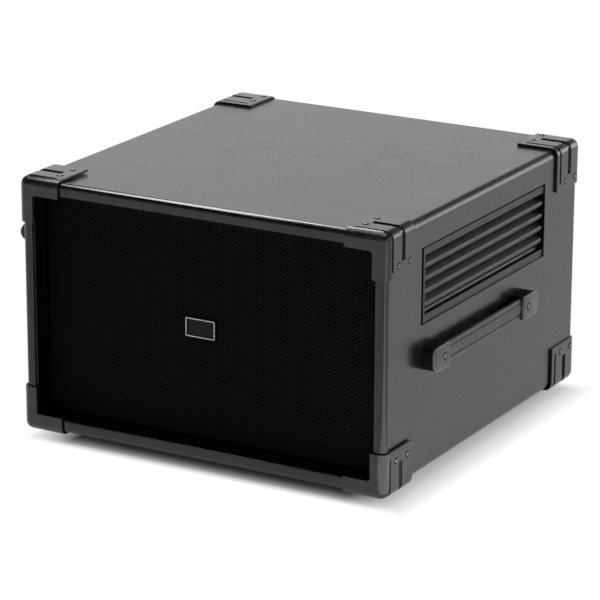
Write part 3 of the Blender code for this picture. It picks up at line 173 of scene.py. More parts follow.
# Rear fittings.
PLATE_FACE = 0.2398
PRINT_HEIGHT = 0.00008
POINTER_TURN = math.radians(150)
TICKS = 11
PIN_COUNT = 10
PIN_RING_RADIUS = 0.0086
POINTER_RADIUS = 0.0038
POINTER_HALF = (0.00045, 0.0030)
POINTER_HEIGHT = (-0.0002, 0.00025)
SCALE_RADIUS = 0.0132
TICK_HALF = 0.0011
LONG_TICK_HALF = 0.0018
TICK_HALF_WIDTH = 0.00036
PRINT_EDGE = 0.0001
ROCKER_BAR_HALF = (0.00045, 0.0021)
# The rocker's ring: its outer and inner half width, each with its corner radius.
ROCKER_RING = ((0.0021, 0.00209), (0.0013, 0.00129))
ROCKER_MARK_GAP = 0.0042
SOCKET_DEPTH = 0.0121
CONTACT_FOOT = 0.0020
INSULATOR_PROFILE = ((0.0, 0.0022), (0.0120, 0.0022), (0.0128, 0.0016), (0.0128, -0.0002))
CONTACT_PROFILE = ((0.0, 0.0072), (0.0006, 0.0071), (0.0009, 0.0066), (0.0009, 0.0))
CONTACT_STEPS = 12
INLET_DEPTH = 0.0172
BLADE_HALF = (0.0010, 0.0020)
BLADE_LENGTH = 0.0140
BLADE_EDGE = 0.0006
INLET_BLADES = ((-0.007, -0.002), (0.0, 0.0025), (0.007, -0.002))
FOOT_RECESS_TOP = 0.0060

# The bare plate's border: its inset, its corner radius and its height.
BORDER_OUTER = (0.0004, 0.0016)
BORDER_INNER = (0.0017, 0.0006)
BORDER_HEIGHT = 0.0001

# Thin pieces that finish the carcass: a black lining that is painted shade in the recess, and vinyl over the
# joints.
SHADE_LINING_THICKNESS = 0.00035
SHADE_LINING_CLEARANCE = 0.00005
SHADE_LINING_RADIUS = 0.0008
SHADE_LINING_INNER_RADIUS = 0.0006
SEAM_HALF_HEIGHT = 0.0011
SEAM_PROUD = 0.00004
SEAM_SUNK = 0.0002
SEAM_END_GAP = 0.006
SEAM_RADIUS = 0.0004


# ---------------------------------------------------------------- materials

def colour(value, tint=(1.0, 1.0, 1.0)):
    """A linear grey with a slight tint, as a colour with alpha."""
    return tuple(value * part for part in tint) + (1.0,)


class Nodes:
    """Builds the nodes of one tree."""

    def __init__(self, tree):
        self.tree = tree

    def node(self, kind, settings=None, **inputs):
        """A new node. An input goes by its name, or by an i and its number."""
        made = self.tree.nodes.new(kind)
        for key, value in (settings or {}).items():
            setattr(made, key, value)
        for key, value in inputs.items():
            by_number = key[0] == "i" and key[1:].isdigit()
            self.feed(made.inputs[int(key[1:]) if by_number else key], value)
        return made

    def feed(self, socket, value):
        if isinstance(value, bpy.types.NodeSocket):
            self.tree.links.new(value, socket)
        else:
            socket.default_value = value

    def math(self, operation, first, second, clamp=False):
        settings = {"operation": operation, "use_clamp": clamp}
        return self.node("ShaderNodeMath", settings, i0=first, i1=second).outputs[0]

    def spread(self, value, low, high, start=0.3, end=0.7, curve="LINEAR"):
        """value from start..end mapped to low..high; most of a noise lies between 0.3 and 0.7."""
        settings = {"interpolation_type": curve}
        made = self.node("ShaderNodeMapRange", settings, i0=value, i1=start, i2=end, i3=low, i4=high)
        return made.outputs[0]


class Surface(Nodes):
    """One procedural material, built node by node on the object's own coordinates."""

    def __init__(self, name):
        self.material = bpy.data.materials.new(name)
        self.material.use_nodes = True
        super().__init__(self.material.node_tree)
        self.shader = self.tree.nodes["Principled BSDF"]
        self.place = self.node("ShaderNodeTexCoord").outputs["Object"]

    def noise(self, size, detail=3.0, rough=0.55, stretch=None):
        """Soft noise from 0 to 1 with features about size metres wide."""
        vector = self.place
        if stretch:
            stretched = self.node("ShaderNodeVectorMath", {"operation": "MULTIPLY"}, i0=vector, i1=stretch)
            vector = stretched.outputs[0]
        made = self.node("ShaderNodeTexNoise", Vector=vector, Scale=1.0 / size, Detail=detail,
                         Roughness=rough)
        return made.outputs["Fac"]

    def cells(self, size, warp):
        """Pebbles about size metres wide, bent by warp of that: 0 in a pebble's middle."""
        bent = self.node("ShaderNodeTexNoise", Vector=self.place, Scale=0.7 / size, Detail=2.0)
        shifted = self.node("ShaderNodeVectorMath", {"operation": "MULTIPLY_ADD"},
                            i0=bent.outputs["Color"], i1=(warp * size,) * 3, i2=self.place)
        made = self.node("ShaderNodeTexVoronoi", {"feature": "SMOOTH_F1"}, Vector=shifted.outputs[0],
                         Scale=1.0 / size, Smoothness=0.5)
        return made.outputs["Distance"]

    def mix(self, share, first, second):
        return self.node("ShaderNodeMix", {"data_type": "RGBA"}, i0=share, i6=first, i7=second).outputs[2]

    def wear(self):
        """1 on worn outer edges, broken up by noise."""
        point = self.node("ShaderNodeNewGeometry").outputs["Pointiness"]
        edge = self.spread(point, 0.0, 1.0, 0.52, 0.62)
        return self.math("MULTIPLY", edge, self.spread(self.noise(0.012), 0.0, 1.0, 0.4, 0.65), clamp=True)

    def gloss(self, rough, broad, broad_step, fine, fine_step):
        """A roughness that moves by broad_step with a broad noise and by fine_step with a fine one."""
        patches = self.spread(broad, rough - broad_step, rough + broad_step)
        return self.math("ADD", patches, self.spread(fine, -fine_step, fine_step))

    def bumps(self, *layers):
        """Each layer is (height, depth in metres)."""
        normal = None
        for height, depth in layers:
            made = self.node("ShaderNodeBump", Strength=1.0, Distance=depth, Height=height)
            if normal is not None:
                self.tree.links.new(normal, made.inputs["Normal"])
            normal = made.outputs["Normal"]
        self.tree.links.new(normal, self.shader.inputs["Normal"])

    def finish(self, base, rough, metallic=0.0, specular=0.5):
        for name, value in (("Base Color", base), ("Roughness", rough), ("Metallic", metallic),
                            ("IOR", 1.5), ("Specular IOR Level", specular)):
            self.feed(self.shader.inputs[name], value)
        return self.material


def tolex(name, scuffed=0.35):
    """Pebbled vinyl cloth: fine rounded pebbles, a little colour drift, scuffed edges."""
    s = Surface(name)
    pebbles = s.cells(0.0021, 0.5)
    fine = s.noise(0.0009, 2.0)
    drift = s.noise(0.05, 4.0)
    speckle = s.noise(0.0027, 2.0, 0.7)
    tone = s.mix(s.spread(pebbles, 1.0, 0.0, 0.15, 0.75), colour(0.004), colour(0.009))
    tone = s.mix(s.spread(speckle, 0.0, 0.6, 0.35, 0.7), tone, colour(0.020))
    tone = s.mix(s.spread(drift, 0.0, 0.25, 0.35, 0.7), tone, colour(0.007))
    tone = s.mix(s.math("MULTIPLY", s.wear(), scuffed), tone, colour(0.08))
    rough = s.gloss(0.235, drift, 0.015, speckle, 0.07)
    s.bumps((speckle, 0.00009), (pebbles, -0.00006), (fine, 0.00002))
    return s.finish(tone, rough, specular=0.46)


def moulded(name, base, rough, grain=0.0011, depth=0.00005, worn=0.08, drift=0.25, specular=0.5):
    """Moulded plastic or rubber: a fine spark-eroded grain, faint drift and lighter worn edges."""
    s = Surface(name)
    grit = s.noise(grain, 3.0, 0.65)
    soft = s.noise(0.035, 3.0)
    tone = s.mix(s.spread(soft, 0.0, 1.0), colour(base * (1 - drift)), colour(base * (1 + drift)))
    tone = s.mix(s.spread(grit, 0.0, 0.35, 0.45, 0.75), tone, colour(base * 1.6))
    tone = s.mix(s.math("MULTIPLY", s.wear(), 0.4), tone, colour(worn))
    s.bumps((grit, depth))
    return s.finish(tone, s.gloss(rough, soft, 0.05, grit, 0.04), specular=specular)


def extrusion():
    """Smooth extruded trim: a fine haze and a satin sheen."""
    s = Surface("trim_satin")
    soft = s.noise(0.03, 3.0)
    haze = s.noise(0.0025, 3.0)
    tone = s.mix(s.spread(soft, 0.0, 1.0), colour(0.002), colour(0.004))
    tone = s.mix(s.math("MULTIPLY", s.wear(), 0.3), tone, colour(0.04))
    s.bumps((haze, 0.000010))
    return s.finish(tone, s.gloss(0.15, soft, 0.02, haze, 0.02), specular=0.44)


def coated_steel(name, base, rough, orange=0.0016, depth=0.00003, worn=0.12, specular=0.5):
    """Powder-coated steel: orange peel over a hard sheet, with bright rubbed edges."""
    s = Surface(name)
    peel = s.noise(orange, 2.0, 0.4)
    soft = s.noise(0.04, 3.0)
    tone = s.mix(s.spread(soft, 0.0, 1.0), colour(base * 0.8), colour(base * 1.2))
    tone = s.mix(s.math("MULTIPLY", s.wear(), 0.25), tone, colour(worn))
    s.bumps((peel, depth))
    return s.finish(tone, s.gloss(rough, soft, 0.05, peel, 0.04), specular=specular)


def plated(name, tint, level, rough, metallic=1.0):
    """Plated or bare metal: brushed streaks, stains and a fine haze."""
    s = Surface(name)
    streaks = s.noise(0.0012, 3.0, 0.6, stretch=(1.0, 1.0, 0.15))
    stain = s.noise(0.02, 4.0)
    tone = s.mix(s.spread(stain, 0.0, 1.0), colour(level * 0.75, tint), colour(level, tint))
    s.bumps((streaks, 0.00001))
    return s.finish(tone, s.gloss(rough, stain, 0.07, streaks, 0.07), metallic=metallic)


def plywood(name, light, dark, rough, paint=False):
    """Birch ply or painted board: long grain, pores and a little filler."""
    s = Surface(name)
    grain = s.noise(0.004, 4.0, 0.6, stretch=(0.12, 1.0, 1.0))
    pores = s.noise(0.0012, 2.0, 0.5, stretch=(0.2, 1.0, 1.0))
    tone = s.mix(s.spread(grain, 0.0, 1.0, 0.35, 0.68), dark, light)
    tone = s.mix(s.spread(pores, 0.0, 0.5, 0.58, 0.75), tone, dark)
    s.bumps((grain, 0.00008 if paint else 0.00012), (pores, 0.00005))
    return s.finish(tone, s.spread(grain, rough - 0.06, rough + 0.08))


def grille_cloth():
    """Open black grille cloth: crossing threads that show only from close by."""
    s = Surface("grille_cloth")
    warp = s.noise(0.0009, 2.0, 0.5, stretch=(1.0, 1.0, 0.2))
    weft = s.noise(0.0009, 2.0, 0.5, stretch=(0.2, 1.0, 1.0))
    threads = s.math("MULTIPLY", warp, weft)
    tone = s.mix(s.spread(threads, 0.0, 1.0, 0.15, 0.4), colour(0.002), colour(0.007))
    s.bumps((threads, 0.00015))
    return s.finish(tone, s.spread(threads, 0.97, 0.85, 0.15, 0.4), specular=0.15)


def paper():
    """Pressed pulp cone: fibres, ribs of light and dark, a matt face."""
    s = Surface("pulp_paper")
    fibre = s.noise(0.0016, 4.0, 0.7)
    felt = s.noise(0.012, 3.0)
    tone = s.mix(s.spread(felt, 0.0, 1.0), colour(0.022), colour(0.035))
    tone = s.mix(s.spread(fibre, 0.0, 0.6, 0.5, 0.75), tone, colour(0.075, (1.0, 0.93, 0.82)))
    s.bumps((fibre, 0.00012))
    return s.finish(tone, s.spread(fibre, 0.75, 0.95))


FINISHES = {
    "tolex": tolex("tolex_vinyl"),
    "painted_board": plywood("board_painted", colour(0.012), colour(0.006), 0.62, paint=True),
    "trim_extrusion": extrusion(),
    "corner_plastic": moulded("corner_moulding", 0.006, 0.21, grain=0.0020, depth=0.000007, worn=0.10),
    "grille_steel": coated_steel("grille_coating", 0.0020, 0.75, worn=0.02, specular=0.10),
    "badge_plate": coated_steel("badge_field", 0.003, 0.35, worn=0.02, specular=0.15),
    "louvre_plastic": moulded("louvre_moulding", 0.007, 0.40, grain=0.0012, depth=0.00002, specular=0.34),
    "handle_rubber": moulded("strap_rubber", 0.008, 0.34, grain=0.0012, depth=0.00003, specular=0.42),
    "rubber": moulded("soft_rubber", 0.012, 0.7, grain=0.0015, depth=0.00006, worn=0.05),
    "zinc_steel": plated("zinc_plating", (1.0, 1.0, 1.02), 0.62, 0.32),
    "painted_steel": coated_steel("basket_coating", 0.02, 0.4),
    "ferrite": moulded("ferrite_ring", 0.035, 0.6, grain=0.0025, depth=0.0001, worn=0.12),
    "cone_paper": paper(),
    "rotor_drum": plywood("drum_birch", colour(0.42, (1.0, 0.78, 0.52)), colour(0.27, (1.0, 0.72, 0.45)),
                          0.55),
    "control_plate": coated_steel("plate_coating", 0.016, 0.42),
    "knob_plastic": moulded("knob_moulding", 0.018, 0.38, grain=0.0009, depth=0.00003),
}
PALE_RIM = moulded("badge_border_paint", 0.72, 0.4, grain=0.001, depth=0.00001, worn=0.8, drift=0.04)
BLACK_SCREW = plated("screw_black_oxide", (1.0, 1.0, 1.0), 0.22, 0.30, metallic=0.85)
# Painted highlight: the pale rim colour stands for the light caught along the caps' rounded edge, with some
# wear on it.
CAP_HIGHLIGHT_RIM = moulded("cap_rim_painted_highlight", 0.14, 0.22, grain=0.0022, depth=0.00001, worn=0.25)
# A near-black finish that barely reflects, for the caps' bodies and for the painted shade in the strap
# grooves.
CAP_BODY_AND_GROOVE_SHADE = moulded("cap_body_and_groove_shade", 0.002, 0.7, grain=0.0016, depth=0.00003, worn=0.01, specular=0.12)
MARKING = moulded("marking_ink", 0.75, 0.5, grain=0.0008, depth=0.000004, worn=0.8, drift=0.05)
BRASS = plated("contact_brass", (1.0, 0.8, 0.42), 0.75, 0.3)
SCRIM_CLOTH = grille_cloth()
SEAM_TOLEX = tolex("tolex_seam", scuffed=0.0)
CAP_GLOSS = moulded("cap_gloss", 0.008, 0.16, grain=0.0022, depth=0.00001, worn=0.12)
# Painted shade: a near-black finish that barely reflects, for the recess walls and the rings under screw
# heads.
PAINTED_SHADE_BLACK = coated_steel("painted_shade_black", 0.0015, 0.9, worn=0.003, specular=0.06)


# ---------------------------------------------------------------- CAD nodes

# The softened edge of each finish, in metres.
EDGES = {
    "tolex": 0.00025,
    "trim_extrusion": 0.0004,
    "corner_plastic": 0.0005,
    "louvre_plastic": 0.0004,
    "handle_rubber": 0.0004,
    "rubber": 0.0004,
    "control_plate": 0.0003,
    "knob_plastic": 0.0003,
    "painted_board": 0.0004,
    "rotor_drum": 0.0005,
}


def dress_node(node):
    """Gives a CAD node its finish, and softens its edges without touching its mesh."""
    slot_name = node.data.materials[0].name
    for slot in node.material_slots:
        slot.material = FINISHES[slot_name]
    weld = node.modifiers.new("weld", "WELD")
    weld.merge_threshold = 0.00002
    flat = node.modifiers.new("flat", "DECIMATE")
    flat.decimate_type = "DISSOLVE"
    flat.angle_limit = math.radians(0.3)
    edge = EDGES.get(slot_name)
    if edge:
        bevel = node.modifiers.new("edges", "BEVEL")
        bevel.width = edge
        bevel.segments = 2
        bevel.limit_method = "ANGLE"
        bevel.angle_limit = math.radians(32)
        bevel.harden_normals = False
        bevel.miter_outer = "MITER_ARC"
    weighted = node.modifiers.new("shade", "WEIGHTED_NORMAL")
    weighted.weight = 100
    weighted.keep_sharp = False
    weighted.mode = "FACE_AREA"


for cad_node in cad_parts.values():
    dress_node(cad_node)


# ---------------------------------------------------------------- mesh tools

def new_object(name, points, faces):
    """A linked object from points and faces, whose faces all look outward."""
    mesh = bpy.data.meshes.new(name)
    mesh.from_pydata([tuple(p) for p in points], [], [tuple(f) for f in faces])
    mesh.validate()
    mesh.update()
    shape = bmesh.new()
    shape.from_mesh(mesh)
    bmesh.ops.recalc_face_normals(shape, faces=shape.faces)
    shape.to_mesh(mesh)
    shape.free()
    made = bpy.data.objects.new(name, mesh)
    bpy.context.scene.collection.objects.link(made)
    return made


def mesh_piece(name, points, faces, slot, material, smooth_angle=None, body="cabinet"):
    """A new piece from points and faces in the row frame, riding on a body."""
    made = new_object(name, points, faces)
    made.data.materials.append(material)
    if smooth_angle is not None:
        made.data.shade_smooth()
        made.data.set_sharp_from_angle(angle=math.radians(smooth_angle))
    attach(made, body)
    return made


def lathe(profile, steps):
    """Points and faces of a closed solid turned round Z; profile is (radius, height), top first."""
    points, faces, rings = [], [], []
    for radius, height in profile:
        if radius < 1e-9:
            rings.append([len(points)] * steps)
            points.append((0.0, 0.0, height))
        else:
            rings.append([len(points) + i for i in range(steps)])
            for i in range(steps):
                turn = 2 * math.pi * i / steps
                points.append((radius * math.cos(turn), radius * math.sin(turn), height))
    for upper, lower in zip(rings, rings[1:]):
        for i in range(steps):
            j = (i + 1) % steps
            corners = list(dict.fromkeys((upper[i], upper[j], lower[j], lower[i])))
            if len(corners) > 2:
                faces.append(corners)
    for ring in (rings[0], rings[-1]):
        if ring[0] != ring[1]:
            faces.append(list(ring))
    return np.array(points), faces


def loft(rings):
    """A closed solid through rings of points: each ring is (outline, height)."""
    count = len(rings[0][0])
    points = [(x, y, z) for outline, z in rings for x, y in outline]
    faces = [list(range(count))[::-1], list(range(len(points) - count, len(points)))]
    for start in range(0, len(points) - count, count):
        for i in range(count):
            j = (i + 1) % count
            faces.append([start + i, start + j, start + count + j, start + count + i])
    return np.array(points), faces


def outline_prism(outline, low, high):
    """Points and faces of a flat outline raised from low to high along Z."""
    return loft([(outline, low), (outline, high)])


def moved(shape, at):
    """A shape with each point x, y, z put where at says."""
    points, faces = shape
    return np.array([at(*point) for point in points]), faces


def section_bar(section, at, start, end):
    """A bar with one section all along: at puts the section's u, w in space at the length t."""
    return moved(outline_prism(section, start, end), at)


def cut_away(shape, cutters):
    """Points and faces of a shape after cutting the cutters away."""
    target = new_object("cut_target", *shape)
    tools = [new_object("cut_tool", *cutter) for cutter in cutters]
    for tool in tools:
        cut = target.modifiers.new("cut", "BOOLEAN")
        cut.operation = "DIFFERENCE"
        cut.solver = "EXACT"
        cut.object = tool
    bpy.context.view_layer.update()
    done = target.evaluated_get(bpy.context.evaluated_depsgraph_get()).to_mesh()
    new_points = np.array([v.co[:] for v in done.vertices])
    new_faces = [list(p.vertices) for p in done.polygons]
    for thing in (target, *tools):
        mesh = thing.data
        bpy.data.objects.remove(thing)
        bpy.data.meshes.remove(mesh)
    return new_points, new_faces


def join(*shapes):
    """Several shapes as one set of points and faces."""
    all_points, all_faces, start = [], [], 0
    for points, faces in shapes:
        all_points.append(np.asarray(points))
        all_faces.extend([[start + i for i in face] for face in faces])
        start += len(points)
    return np.concatenate(all_points), all_faces


def stamp(shape, places):
    """Copies of one shape at several matrices, as one set of points and faces."""
    points, faces = shape
    return join(*(
        (points @ np.array(place.to_3x3()).T + np.array(place.translation), faces) for place in places
    ))


def facing(normal, where, spin=0.0):
    """A matrix that stands a shape's +Z along normal at a point, spun about it."""
    turn = Vector(normal).to_track_quat("Z", "Y").to_matrix().to_4x4()
    return Matrix.Translation(Vector(where)) @ turn @ Matrix.Rotation(spin, 4, "Z")


def screw_head(radius, height, recess=0.5):
    """A pan head with a cross recess, its seat at z 0."""
    profile = [(radius * r, height * z) for r, z in SCREW_PROFILE]
    arm, half = radius * recess, radius * RECESS_HALF_WIDTH
    bars = []
    for along, across in ((arm, half), (half, arm)):
        outline = [(-along, -across), (along, -across), (along, across), (-along, across)]
        bars.append(outline_prism(outline, height * RECESS_FLOOR, height * RECESS_TOP))
    return cut_away(lathe(profile, SCREW_STEPS), bars)


def ring_strip(outer, inner, low, high):
    """A flat ring between two outlines of the same count, raised from low to high."""
    count = len(outer)
    points = [(x, y, z) for z in (low, high) for loop in (outer, inner) for x, y in loop]
    faces = []
    for i in range(count):
        j = (i + 1) % count
        o0, o1, n0, n1 = i, j, count + i, count + j
        up = 2 * count
        faces.append([o0, o1, n1, n0])
        faces.append([up + o0, up + n0, up + n1, up + o1])
        faces.append([o0, up + o0, up + o1, o1])
        faces.append([n0, n1, up + n1, up + n0])
    return np.array(points), faces


def rounded_outline(half_x, half_y, radius, steps=5):
    """A rectangle with round corners, counter-clockwise."""
    points = []
    corners = ((1, 1, 0), (-1, 1, 1), (-1, -1, 2), (1, -1, 3))
    for sx, sy, quarter in corners:
        cx, cy = sx * (half_x - radius), sy * (half_y - radius)
        for i in range(steps + 1):
            turn = (quarter + i / steps) * QUARTER_TURN
            points.append((cx + radius * math.cos(turn), cy + radius * math.sin(turn)))
    return points


def middle_xz(low, high):
    """The middle of a box as seen from the front or the rear."""
    return (low.x + high.x) / 2, (low.z + high.z) / 2


def small_box(half_x, half_y, low, high, edge=0.0002):
    """A box with rounded upright edges, for pins, ticks and marks."""
    return outline_prism(rounded_outline(half_x, half_y, edge, steps=2), low, high)


# ---------------------------------------------------------------- trim and straps

def trim_section(lip, wrap):
    """The trim's outline: a round outer edge, a lip over the front and a wrap over the panel."""
    section = [(TRIM_WALL, wrap), (0.0, wrap)]
    for i in range(TRIM_ARC_STEPS + 1):
        turn = math.pi + QUARTER_TURN * i / TRIM_ARC_STEPS
        section.append((TRIM_RADIUS * (1 + math.cos(turn)), TRIM_RADIUS * (1 + math.sin(turn))))
    for i in range(4):
        turn = QUARTER_TURN * i / 3
        section.append((lip - TRIM_LIP_EDGE * (1 - math.sin(turn)), TRIM_LIP_EDGE * (1 - math.cos(turn))))
    return section + [(lip, TRIM_FACE), *TRIM_INNER]


def make_trims():
    """Four lengths of rounded trim, whose ends lie under the corner protectors."""
    for end in ("top", "bottom", "left", "right"):
        low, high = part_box(f"front_trim_{end}")
        level = end in ("top", "bottom")
        lip = high.z - low.z if level else high.x - low.x
        section = trim_section(lip, high.y - low.y)
        outward = 1 if end in ("top", "right") else -1
        front = low.y
        if level:
            edge = high.z if outward > 0 else low.z
            start, stop = low.x + TRIM_END, high.x - TRIM_END
            bar = section_bar(section, lambda u, w, t: (t, front + w, edge - outward * u), start, stop)
        else:
            edge = high.x if outward > 0 else low.x
            start, stop = low.z + TRIM_END, high.z - TRIM_END
            bar = section_bar(section, lambda u, w, t: (edge - outward * u, front + w, t), start, stop)
        made = mesh_piece(f"rounded_trim_{end}", *bar, slot="trim_extrusion",
                          material=FINISHES["trim_extrusion"], smooth_angle=32)
        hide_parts(f"front_trim_{end}")


make_trims()


def strap_section(thickness, height):
    """Distance in from the outer face, and height: a crowned face with two round-bottomed grooves."""
    half = height / 2
    outer = []
    for i in range(STRAP_COLUMNS + 1):
        z = -half + height * i / STRAP_COLUMNS
        inward = STRAP_CROWN * (z / half) ** 2
        rim = half - abs(z)
        if rim < STRAP_EDGE:
            inward += STRAP_EDGE - math.sqrt(max(STRAP_EDGE ** 2 - (STRAP_EDGE - rim) ** 2, 0.0))
        away = abs(abs(z) - half / 2)
        if away < STRAP_GROOVE_HALF:
            inward += STRAP_GROOVE_DEPTH * math.cos(away / STRAP_GROOVE_HALF * QUARTER_TURN) ** 2
        outer.append((inward, z))
    back = half * STRAP_BACK_SHARE
    return outer + [(thickness, back), (thickness, -back)]


def make_straps():
    """The two straps, with a dark strip of painted shade along the bottom of each groove."""
    for side, sx in SIDES:
        low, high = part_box(f"{side}_handle_strap")
        face = high.x if side == "right" else low.x
        middle = (low.z + high.z) / 2
        section = strap_section(high.x - low.x, high.z - low.z)
        bar = section_bar(section, lambda u, w, t: (face - sx * u, t, middle + w), low.y, high.y)
        made = mesh_piece(f"{side}_grooved_strap", *bar, slot="handle_rubber",
                          material=FINISHES["handle_rubber"], smooth_angle=60)
        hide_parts(f"{side}_handle_strap")
        # Painted shade: a near-black strip along the bottom of each groove darkens it.
        strips = []
        for level in (-1, 1):
            groove = middle + level * (high.z - low.z) / 4
            depth = face - sx * (STRAP_GROOVE_DEPTH + STRAP_CROWN / 4)
            half_length = (high.y - low.y) / 2 - STRAP_GROOVE_SHADE_END
            strip = rounded_outline(half_length, STRAP_GROOVE_SHADE_HALF, STRAP_GROOVE_SHADE_HALF * 0.9, steps=3)
            place = facing((sx, 0, 0), (depth, (low.y + high.y) / 2, groove))
            strips.append(stamp(outline_prism(strip, *STRAP_GROOVE_SHADE_HEIGHT), [place]))
        mesh_piece(f"{side}_strap_groove_shade", *join(*strips), slot="handle_rubber",
                   material=CAP_BODY_AND_GROOVE_SHADE)


make_straps()


def cap_outline(length, half, inset):
    """The cap's side outline up to its nose at length, shrunk by inset; the nose is rounder below."""
    corners = ((length, half, CAP_NOSE_TOP, 0), (0.0, half, CAP_INNER, 1),
               (0.0, -half, CAP_INNER, 2), (length, -half, CAP_NOSE_BOTTOM, 3))
    points = []
    for along, up, radius, quarter in corners:
        right = 1 if along == length else -1
        above = 1 if up > 0 else -1
        centre = (along - right * radius, up - above * radius)
        for i in range(7):
            turn = (quarter + i / 6) * QUARTER_TURN
            reach = max(radius - inset, CAP_LEAST_RADIUS)
            points.append((centre[0] + reach * math.cos(turn), centre[1] + reach * math.sin(turn)))
    return points


def rounded_plate(length, half, inset, low, high, edge):
    """A plate in the cap's outline whose upper edge is rounded."""
    rings = [(cap_outline(length, half, inset), low)]
    for i in range(5):
        turn = QUARTER_TURN * i / 4
        shrink = inset + edge * (1 - math.cos(turn))
        rings.append((cap_outline(length, half, shrink), high - edge * (1 - math.sin(turn))))
    return loft(rings)


def make_caps():
    """Each cap is a near-black body with a pale rim on it, a painted highlight along the cap's edge, and a
    glossy face inside the rim.
    """
    for side, sx in SIDES:
        for end, sy in (("front", -1), ("rear", 1)):
            name = f"{side}_handle_{end}_cap"
            low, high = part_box(name)
            inner_y = high.y if end == "front" else low.y
            base = low.x if side == "right" else high.x
            length, half, height = high.y - low.y, (high.z - low.z) / 2, high.x - low.x
            middle = (low.z + high.z) / 2
            shelf = height - CAP_FACE_DEPTH

            def at(u, v, w):
                return base + sx * w, inner_y + sy * u, middle + v

            body = rounded_plate(length, half, CAP_BODY_INSET, 0.0, shelf, CAP_BODY_EDGE)
            rim = ring_strip(cap_outline(length, half, 0.0), cap_outline(length, half, CAP_RIM_WIDTH),
                             shelf - CAP_OVERLAP, height - CAP_RIM_DROP)
            face = rounded_plate(length, half, CAP_RIM_WIDTH - CAP_OVERLAP, shelf - CAP_OVERLAP, height,
                                 CAP_FACE_EDGE)
            for part, shape, material in (("body", body, CAP_BODY_AND_GROOVE_SHADE), ("rim", rim, CAP_HIGHLIGHT_RIM),
                                          ("face", face, CAP_GLOSS)):
                made = mesh_piece(f"{name}_{part}", *moved(shape, at), slot="handle_rubber",
                                  material=material, smooth_angle=35)
            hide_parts(name)


make_caps()


# ---------------------------------------------------------------- grille

def perforated_pan(low, high):
    """The grille: a folded pan whose face is pierced by staggered holes."""
    half_w, half_h = (high.x - low.x) / 2, (high.z - low.z) / 2
    field_w, field_h = half_w - GRILLE_FIELD_INSET[0], half_h - GRILLE_FIELD_INSET[1]
    step_x, step_z = field_w / GRILLE_COLUMNS, field_h / GRILLE_ROWS
    rim = ((1, 0), (1, 1), (-1, 1), (-1, 0), (-1, -1), (1, -1))
    hole = [(math.cos(i * math.pi / 3), math.sin(i * math.pi / 3)) for i in range(6)]
    rim = [(x * step_x, z * step_z) for x, z in rim]
    hole = [(x * GRILLE_HOLE_RADIUS, z * GRILLE_HOLE_RADIUS) for x, z in hole]
    keys, flat, faces = {}, [], []

    def vertex(x, z, layer):
        key = (round(x, 6), round(z, 6), layer)
        if key not in keys:
            keys[key] = len(flat)
            flat.append((x, layer * GRILLE_SHEET, z))
        return keys[key]

    for column in range(GRILLE_COLUMNS):
        x = -field_w + step_x * (2 * column + 1)
        shifted = column % 2
        for row in range(GRILLE_ROWS - shifted):
            z = -field_h + step_z * (2 * row + 1 + shifted)
            outer = [[vertex(x + dx, z + dz, layer) for dx, dz in rim] for layer in (0, 1)]
            inner = [[vertex(x + dx, z + dz, layer) for dx, dz in hole] for layer in (0, 1)]
            for i in range(6):
                j = (i + 1) % 6
                for layer in (0, 1):
                    faces.append((outer[layer][i], outer[layer][j], inner[layer][j], inner[layer][i]))
                faces.append((inner[0][i], inner[0][j], inner[1][j], inner[1][i]))
        if shifted:
            for z0, z1 in ((-field_h, step_z - field_h), (field_h - step_z, field_h)):
                for layer in (0, 1):
                    faces.append([
                        vertex(x + dx, z, layer)
                        for dx, z in ((-step_x, z0), (step_x, z0), (step_x, z1), (-step_x, z1))
                    ])

    across = [-field_w + 2 * step_x * i for i in range(GRILLE_COLUMNS + 1)]
    upward = [-field_h + step_z * i for i in range(2 * GRILLE_ROWS + 1)]
    loop = [(x, -field_h) for x in across[:-1]] + [(field_w, z) for z in upward[:-1]]
    loop += [(x, field_h) for x in across[:0:-1]] + [(-field_w, z) for z in upward[:0:-1]]

    def ring(inset, depth):
        w, h = half_w - inset, half_h - inset
        radius = max(GRILLE_CORNER_RADIUS - inset, 0.001)
        made = []
        for x, z in loop:
            px, pz = x * w / field_w, z * h / field_h
            cx, cz = math.copysign(w - radius, px), math.copysign(h - radius, pz)
            if abs(px) > w - radius and abs(pz) > h - radius:
                away = math.hypot(px - cx, pz - cz)
                px, pz = cx + (px - cx) / away * radius, cz + (pz - cz) / away * radius
            made.append(len(flat))
            flat.append((px, depth, pz))
        return made

    pan_depth = high.y - low.y
    bend = GRILLE_EDGE_RADIUS
    turns = [QUARTER_TURN * i / GRILLE_ARC_STEPS for i in range(GRILLE_ARC_STEPS + 1)]
    rings = [[vertex(x, z, 0) for x, z in loop]]
    rings += [ring(bend * (1 - math.sin(t)), bend * (1 - math.cos(t))) for t in turns]
    rings.append(ring(0.0, pan_depth))
    rings.append(ring(GRILLE_SHEET, pan_depth))
    inner_bend = bend - GRILLE_SHEET
    for t in reversed(turns):
        rings.append(ring(bend - inner_bend * math.sin(t), bend - inner_bend * math.cos(t)))
    rings.append([vertex(x, z, 1) for x, z in loop])
    for first, second in zip(rings, rings[1:]):
        for i in range(len(loop)):
            j = (i + 1) % len(loop)
            faces.append((first[i], first[j], second[j], second[i]))
    middle = np.array(((low.x + high.x) / 2, low.y, (low.z + high.z) / 2))
    return np.array(flat) + middle, faces


grille = mesh_piece(
    "perforated_grille", *perforated_pan(*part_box("front_grille")),
    slot="grille_steel", material=FINISHES["grille_steel"], smooth_angle=35,
)
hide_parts("front_grille")


